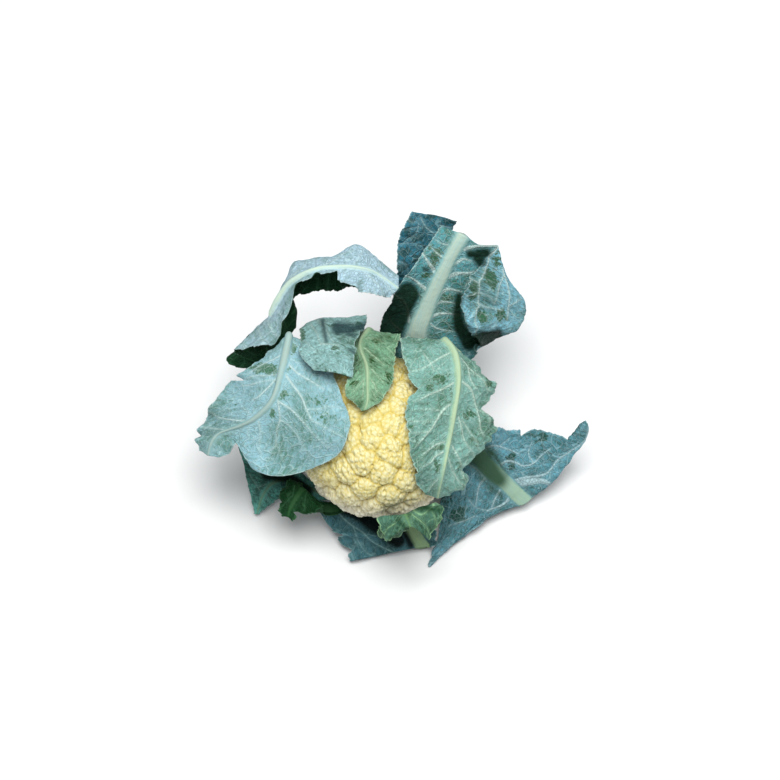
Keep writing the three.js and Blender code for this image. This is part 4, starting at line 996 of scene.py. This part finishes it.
# The leaves spread round the foot
# The outer leaves grow lowest on the stump and lie out over the table, upper face up, several of
# them cut across with pale rib ends. A small curled leaf and a lobed one stand in front, greener
# than the rest. TRIMMED is what the three cut leaves at the unseen sides share.
TRIMMED = {
    "rib": [9, 8, 8, 7], "grid": (120, 100), "veins": (13, 0.6, 1.4), "blister": 1.0, "teeth": 1.6,
    "upper": (90, 130, 132), "under": (112, 152, 154), "green": (60, 102, 84),
    "pale": (180, 208, 204), "rib_tone": (184, 208, 176), "rubbed": 0.6,
}
FOOT = {
    "spread_right": {
        "angle": -8, "stalk": [[20, 22, 9], [62, 30, 11]],
        "rib": [9, 8, 8, 7], "wave": [2, 4, 0.4], "frill": 0.8, "crest": 2.0,
        "blade": [
            [[110, 8, -26], [95, -18, -40], [60, -72, -46]],
            [[130, 9, -38], [106, -28, -43], [58, -100, -46]],
            [[158, 8, -46], [118, -39, -47], [56, -116, -42]],
            [[180, 4, -50], [127, -47, -51], [50, -124, -38]],
            [[201, -5, -48], [131, -51, -53], [48, -133, -38]],
            [[210, 15, -40], [136, -56, -55], [62, -118, -40]],
            [[208, -5, -46], [140, -60, -57], [82, -101, -46]],
            [[172, -43, -58], [148, -67, -59], [132, -71, -56]],
        ],
        "bites": [[-1, 3.65, 0.25, 0.14]],
        "grid": (200, 230), "veins": (17, 0.35, 1.9), "blister": 2.0, "teeth": 2.0, "seed": 63,
        "lines": [
            (2.8, 0.8, (101.5, -16.5), (108, -11), (115.5, -8.5), (128.5, -12.5), (141, -18)),
            (3.0, 0.7, (117, -32), (127, -25), (135, -25.5), (145, -29.5), (155, -27), (164, -18),
                (173, -11.5)),
            (3.2, 0.9, (128.5, -47), (145, -42), (160.5, -39.5), (170.5, -35.5), (179.5, -24),
                (188.5, -18), (206, -5), (210.5, 11.5)),
            (9, 3, (130, -49), (147.5, -46), (163, -44.5), (172, -46)),
            (2.3, 0.7, (105.5, -41), (96.5, -32), (87.5, -27)),
            (3.0, 0.8, (114.5, -39.5), (103.5, -44.5), (99, -52.5), (96.5, -69)),
            (3.0, 1.1, (122, -53.5), (117, -61), (112.5, -71.5)),
            (3.4, 1.4, (132, -61), (123.5, -69), (108, -75)),
            (0.9, 0.5, (89.5, -64), (96.5, -71.5), (106.5, -74)),
            (1.1, 0.6, (95.5, -80.5), (81, -86.5), (69.5, -90.5)),
            (1.3, 0.5, (155, -27), (150, -16.5), (154, -5)),
            (0.9, 0.5, (129.5, -1.5), (122, -7.5), (114.5, -14)),
        ],
        "patches": [(132, -23, 4, 7, 1), (164, -1.5, 10, 6, 0.7), (78.5, -80, 8, 6, 1),
            (109, -19, 5, 5, 0.8), (172, -16.5, 5, 2, 0.7), (70, -64, 6, 8, 0.5)],
        # Painted shadow: strokes darken the upper half of the rib and the blade beside it, where the leaf
        # above casts its shadow.
        "shade": [
            (26, 18, (94, -14), (108, -30), (114, -38), (119, -43)),
            (9, 3, (108, -12), (117, -21), (123, -31), (128, -38)),
            (4, 3, (101, -41), (113, -52), (121, -58)),
        ],
        "fall": 12,
        "shade_tone": (50, 82, 60),
        "upper": (108, 171, 187), "under": (117, 163, 175), "green": (36, 83, 72),
        "pale": (178, 209, 213), "rib_tone": (158, 188, 164), "rubbed": 0.6,
    },
    "front_cut": {
        "angle": -66, "stalk": [[20, 10, 8], [46, 14, 10]],
        "rib": [9, 8, 8, 7], "wave": [3.5, 3, 0.2], "crest": 2.0,
        "blade": [
            [[48, -84, -36], [27, -88, -47], [-66, -64, -46]],
            [[56, -93, -30], [33, -97, -43], [-50, -92, -36]],
            [[60, -103, -30], [38, -104, -40], [-43, -105, -36]],
            [[54, -112, -32], [43, -111, -37], [-32, -126, -34]],
        ],
        "bites": [[1, 3.5, 0.3, 0.09], [1, 4.5, 0.3, 0.09]],
        "grid": (110, 150), "veins": (13, 0.3, 1.3), "blister": 0.8, "teeth": 2.4, "seed": 71,
        "hollow_shade": 0.6,
        "lines": [
            (1.4, 1, (-49, -72), (-32.5, -86.5), (-18, -97), (-3.5, -108.5), (18.5, -119)),
            (0.9, 0.5, (-27, -91), (-22.5, -104), (-15, -116), (-2, -122)),
            (0.7, 0.4, (-24, -105.5), (-29.5, -114.5), (-32.5, -125)),
        ],
        # Painted shade: the dark gap between the head and this leaf's inner part, and a dark spot at its
        # right.
        "shade": [(13, 15, (-40, -70), (-22, -79), (-3, -92), (18, -105)), (7, 7, (24, -96), (31, -110))],
        "shade_tone": (5, 16, 12),
        "upper": (73, 123, 132), "under": (84, 126, 130), "green": (25, 58, 55),
        "pale": (138, 177, 177), "rib_tone": (141, 169, 125), "rubbed": 0.6,
    },
    "front_curl": {
        "angle": -84, "stalk": [[20, 35, 7], [56, 36, 8], [88, 50, 7]],
        "rib": [4, 4, 0.8, 0.6], "wave": [4.5, 3, 0.1],
        "blade": [
            [[26, -94, 18], [10, -94, 24], [-4, -94, 22]],
            [[44, -74, 44], [18, -80, 44], [0, -80, 42]],
            [[66, -65, 46], [24, -76, 55], [-4, -82, 50]],
            [[62, -84, 52], [27, -80, 61], [-1, -97, 52]],
            [[50, -102, 54], [30, -88, 64], [4, -104, 54]],
        ],
        "grid": (150, 100), "veins": (10, 0.7, 0.8), "blister": 0.9, "teeth": 3.2, "seed": 80,
        "hollow_shade": 0.7, "margin": 1.0,
        "lines": [
            (1, 0.5, (32, -72), (42, -76.5), (55.5, -66), (65.5, -64.5)),
            (0.9, 0.4, (14.5, -85), (5.5, -91), (0.5, -101.5)),
            (0.9, 0.4, (32, -76.5), (45, -86.5), (51, -100)),
            (0.7, 0.3, (49.5, -72), (55.5, -85), (55.5, -94)),
        ],
        # Painted shade: strokes darken its right lobe and the valley between its two lobes, for the folds.
        "shade": [(8, 3, (36, -67), (50, -72), (60, -73)), (1, 7, (18, -82), (28, -92), (36, -104))],
        "fall": 8, "shade_tone": (26, 66, 38), "net": 0.5,
        "upper": (84, 130, 110), "under": (82, 128, 106), "green": (16, 54, 26),
        "pale": (153, 197, 147), "rib_tone": (111, 149, 98), "rubbed": 0.7,
    },
    "left_low": {
        "angle": 193, "stalk": [[20, 9, 8], [62, 9, 10]],
        "rib": [4, 3, 1, 0.8], "wave": [2.5, 3, 0.7],
        "blade": [
            [[-78, -62, -62], [-84, -46, -66], [-92, -28, -64]],
            [[-95, -54, -52], [-106, -46, -60], [-142, -6, -54]],
            [[-103, -66, -56], [-118, -58, -58], [-137, -36, -58]],
            [[-122, -79, -60], [-125, -79, -60], [-129, -78, -60]],
        ],
        "grid": (130, 100), "veins": (13, 0.7, 1.0), "blister": 1.2, "teeth": 2.6, "seed": 91,
        "hollow_shade": 0.6, "margin": 0.8,
        "lines": [
            (1, 0.5, (-132.5, -38), (-122, -54.5), (-110.5, -69)),
            (0.8, 0.4, (-123.5, -51.5), (-109, -47), (-93, -48.5)),
            (0.7, 0.4, (-119, -58.5), (-122, -69), (-125, -76.5)),
        ],
        # Painted shade: a stroke darkens its inner part towards the stalk.
        "shade": [(14, 12, (-114, -38), (-98, -41), (-84, -48), (-74, -56))],
        "shade_tone": (6, 20, 14),
        "upper": (106, 187, 175), "under": (75, 116, 109), "green": (30, 71, 55),
        "pale": (119, 156, 145), "rib_tone": (108, 145, 119), "rubbed": 0.7,
    },
    "lobed_left": {
        "angle": -133, "stalk": [[20, 24, 7], [60, 34, 8]],
        "rib": [7, 6, 1, 0.8], "wave": [2, 5, 0.4],
        "blade": [
            [[-54, -80, -29], [-66, -72, -30], [-76, -60, -30]],
            [[-56, -72, -14], [-72, -60, -14], [-82, -46, -18]],
            [[-56, -72, -2], [-76, -52, -4], [-92, -44, -10]],
            [[-62, -76, 4], [-82, -58, 3], [-99, -52, -6]],
            [[-74, -80, 6], [-89, -70, 4], [-102, -66, -4]],
            [[-86, -86, 2], [-92, -80, 2], [-101, -80, -4]],
        ],
        "bites": [[-1, 6.2, 0.5, 0.5]],
        "grid": (140, 90), "veins": (11, 0.8, 0.8), "blister": 1.0, "teeth": 3.2, "seed": 99,
        "hollow_shade": 0.6, "margin": 0.9,
        "lines": [
            (1, 0.4, (-72.5, -51.5), (-75, -61.5), (-76, -73.5)),
            (0.8, 0.4, (-85.5, -50), (-87, -61.5), (-84.5, -80.5)),
            (0.7, 0.3, (-85.5, -57.5), (-94.5, -66), (-101.5, -78)),
        ],
        # These tones are partly the leaf's own green and partly painted shade: darkened for the shade that
        # this low front leaf lies in.
        "upper": (8, 62, 25), "under": (53, 93, 65), "green": (4, 37, 10),
        "pale": (66, 113, 76), "rib_tone": (47, 89, 51), "rubbed": 0.7,
    },
    "cut_left": TRIMMED | {
        "angle": 167, "stalk": [[20, 35, 8], [64, 26, 10]],
        "wave": [3, 2, 0.2],
        "blade": [
            [[-92, -36, -58], [-92, -10, -66], [-84, 16, -72]],
            [[-108, -34, -48], [-112, -4, -60], [-104, 34, -60]],
            [[-120, -28, -44], [-128, 1, -58], [-120, 44, -56]],
        ],
        "seed": 107,
    },
    "cut_back": TRIMMED | {
        "angle": 122, "stalk": [[20, 11, 7], [64, 14, 9]],
        "wave": [3, 2, 0.6],
        "blade": [
            [[-62, 24, -96], [-44, 38, -102], [-14, 40, -104]],
            [[-78, 40, -96], [-54, 62, -98], [-8, 66, -98]],
            [[-84, 56, -96], [-60, 82, -94], [-8, 84, -90]],
        ],
        "seed": 115,
    },
    "cut_right": TRIMMED | {
        "angle": 22, "stalk": [[20, 11, 8], [64, 14, 10]],
        "wave": [3, 2, 0.9],
        "blade": [
            [[66, 12, -92], [84, -12, -80], [86, -34, -72]],
            [[80, 34, -86], [102, -2, -82], [116, -32, -72]],
            [[90, 46, -82], [116, 6, -82], [130, -20, -74]],
        ],
        "seed": 123,
    },
}
make_leaves(FOOT)

# The table, the light and the camera
# The plant stands on a plain pale table top under one wide soft lamp, in a pale room. A long lens
# looks down on it by 60 degrees, as the photo does.
table_mesh = bpy.data.meshes.new("table_top")
table_mesh.from_pydata([(-4, -4, 0), (4, -4, 0), (4, 4, 0), (-4, 4, 0)], [], [(0, 1, 2, 3)])
table_top = bpy.data.objects.new("table_top", table_mesh)
bpy.context.scene.collection.objects.link(table_top)
white = Finish("table_white", Roughness=0.8)
cloudy = white.noise(white.place(), 3, 2)
white.feed("Base Color", white.mix(cloudy, tone(250, 250, 250), tone(252, 252, 251)))
table_mesh.materials.append(white.material)

LAMP_PLACE = np.array([0.1, -0.3, 2.75])
LAMP_AIM = np.array([0, 0.05, 0.1])
lamp = bpy.data.lights.new("wide_light", "AREA")
lamp.size, lamp.energy = 1.7, 107
wide_light = bpy.data.objects.new("wide_light", lamp)
wide_light.location = LAMP_PLACE
aim = LAMP_AIM - LAMP_PLACE
tilt = math.acos(-aim[2] / np.linalg.norm(aim))
wide_light.rotation_euler = (tilt, 0, math.atan2(aim[1], aim[0]) - math.pi / 2)
bpy.context.scene.collection.objects.link(wide_light)
room = bpy.data.worlds.new("pale_room")
room.use_nodes = True
room.node_tree.nodes["Background"].inputs["Color"].default_value = (0.93, 0.97, 1.0, 1)
room.node_tree.nodes["Background"].inputs["Strength"].default_value = 0.6
bpy.context.scene.world = room
bpy.context.scene.view_settings.view_transform = "Standard"

CAMERA_DISTANCE = 4.3333  # metres, so that one picture element is one millimetre at the head's middle
LOOKS_RIGHT, LOOKS_UP = 0.010, 0.047  # how far from the head's middle the picture's middle lies
lens = bpy.data.cameras.new("camera")
lens.lens, lens.sensor_width = 200, 36
camera = bpy.data.objects.new("camera", lens)
upward = np.array([0, math.sin(LEAN), math.cos(LEAN)])
outward = np.array([0, -math.cos(LEAN), math.sin(LEAN)])
looked_at = np.array([LOOKS_RIGHT, 0, HEAD_MIDDLE / 1000]) + LOOKS_UP * upward
camera.location = looked_at + CAMERA_DISTANCE * outward
camera.rotation_euler = (math.pi / 2 - LEAN, 0, 0)
bpy.context.scene.collection.objects.link(camera)
bpy.context.scene.camera = camera
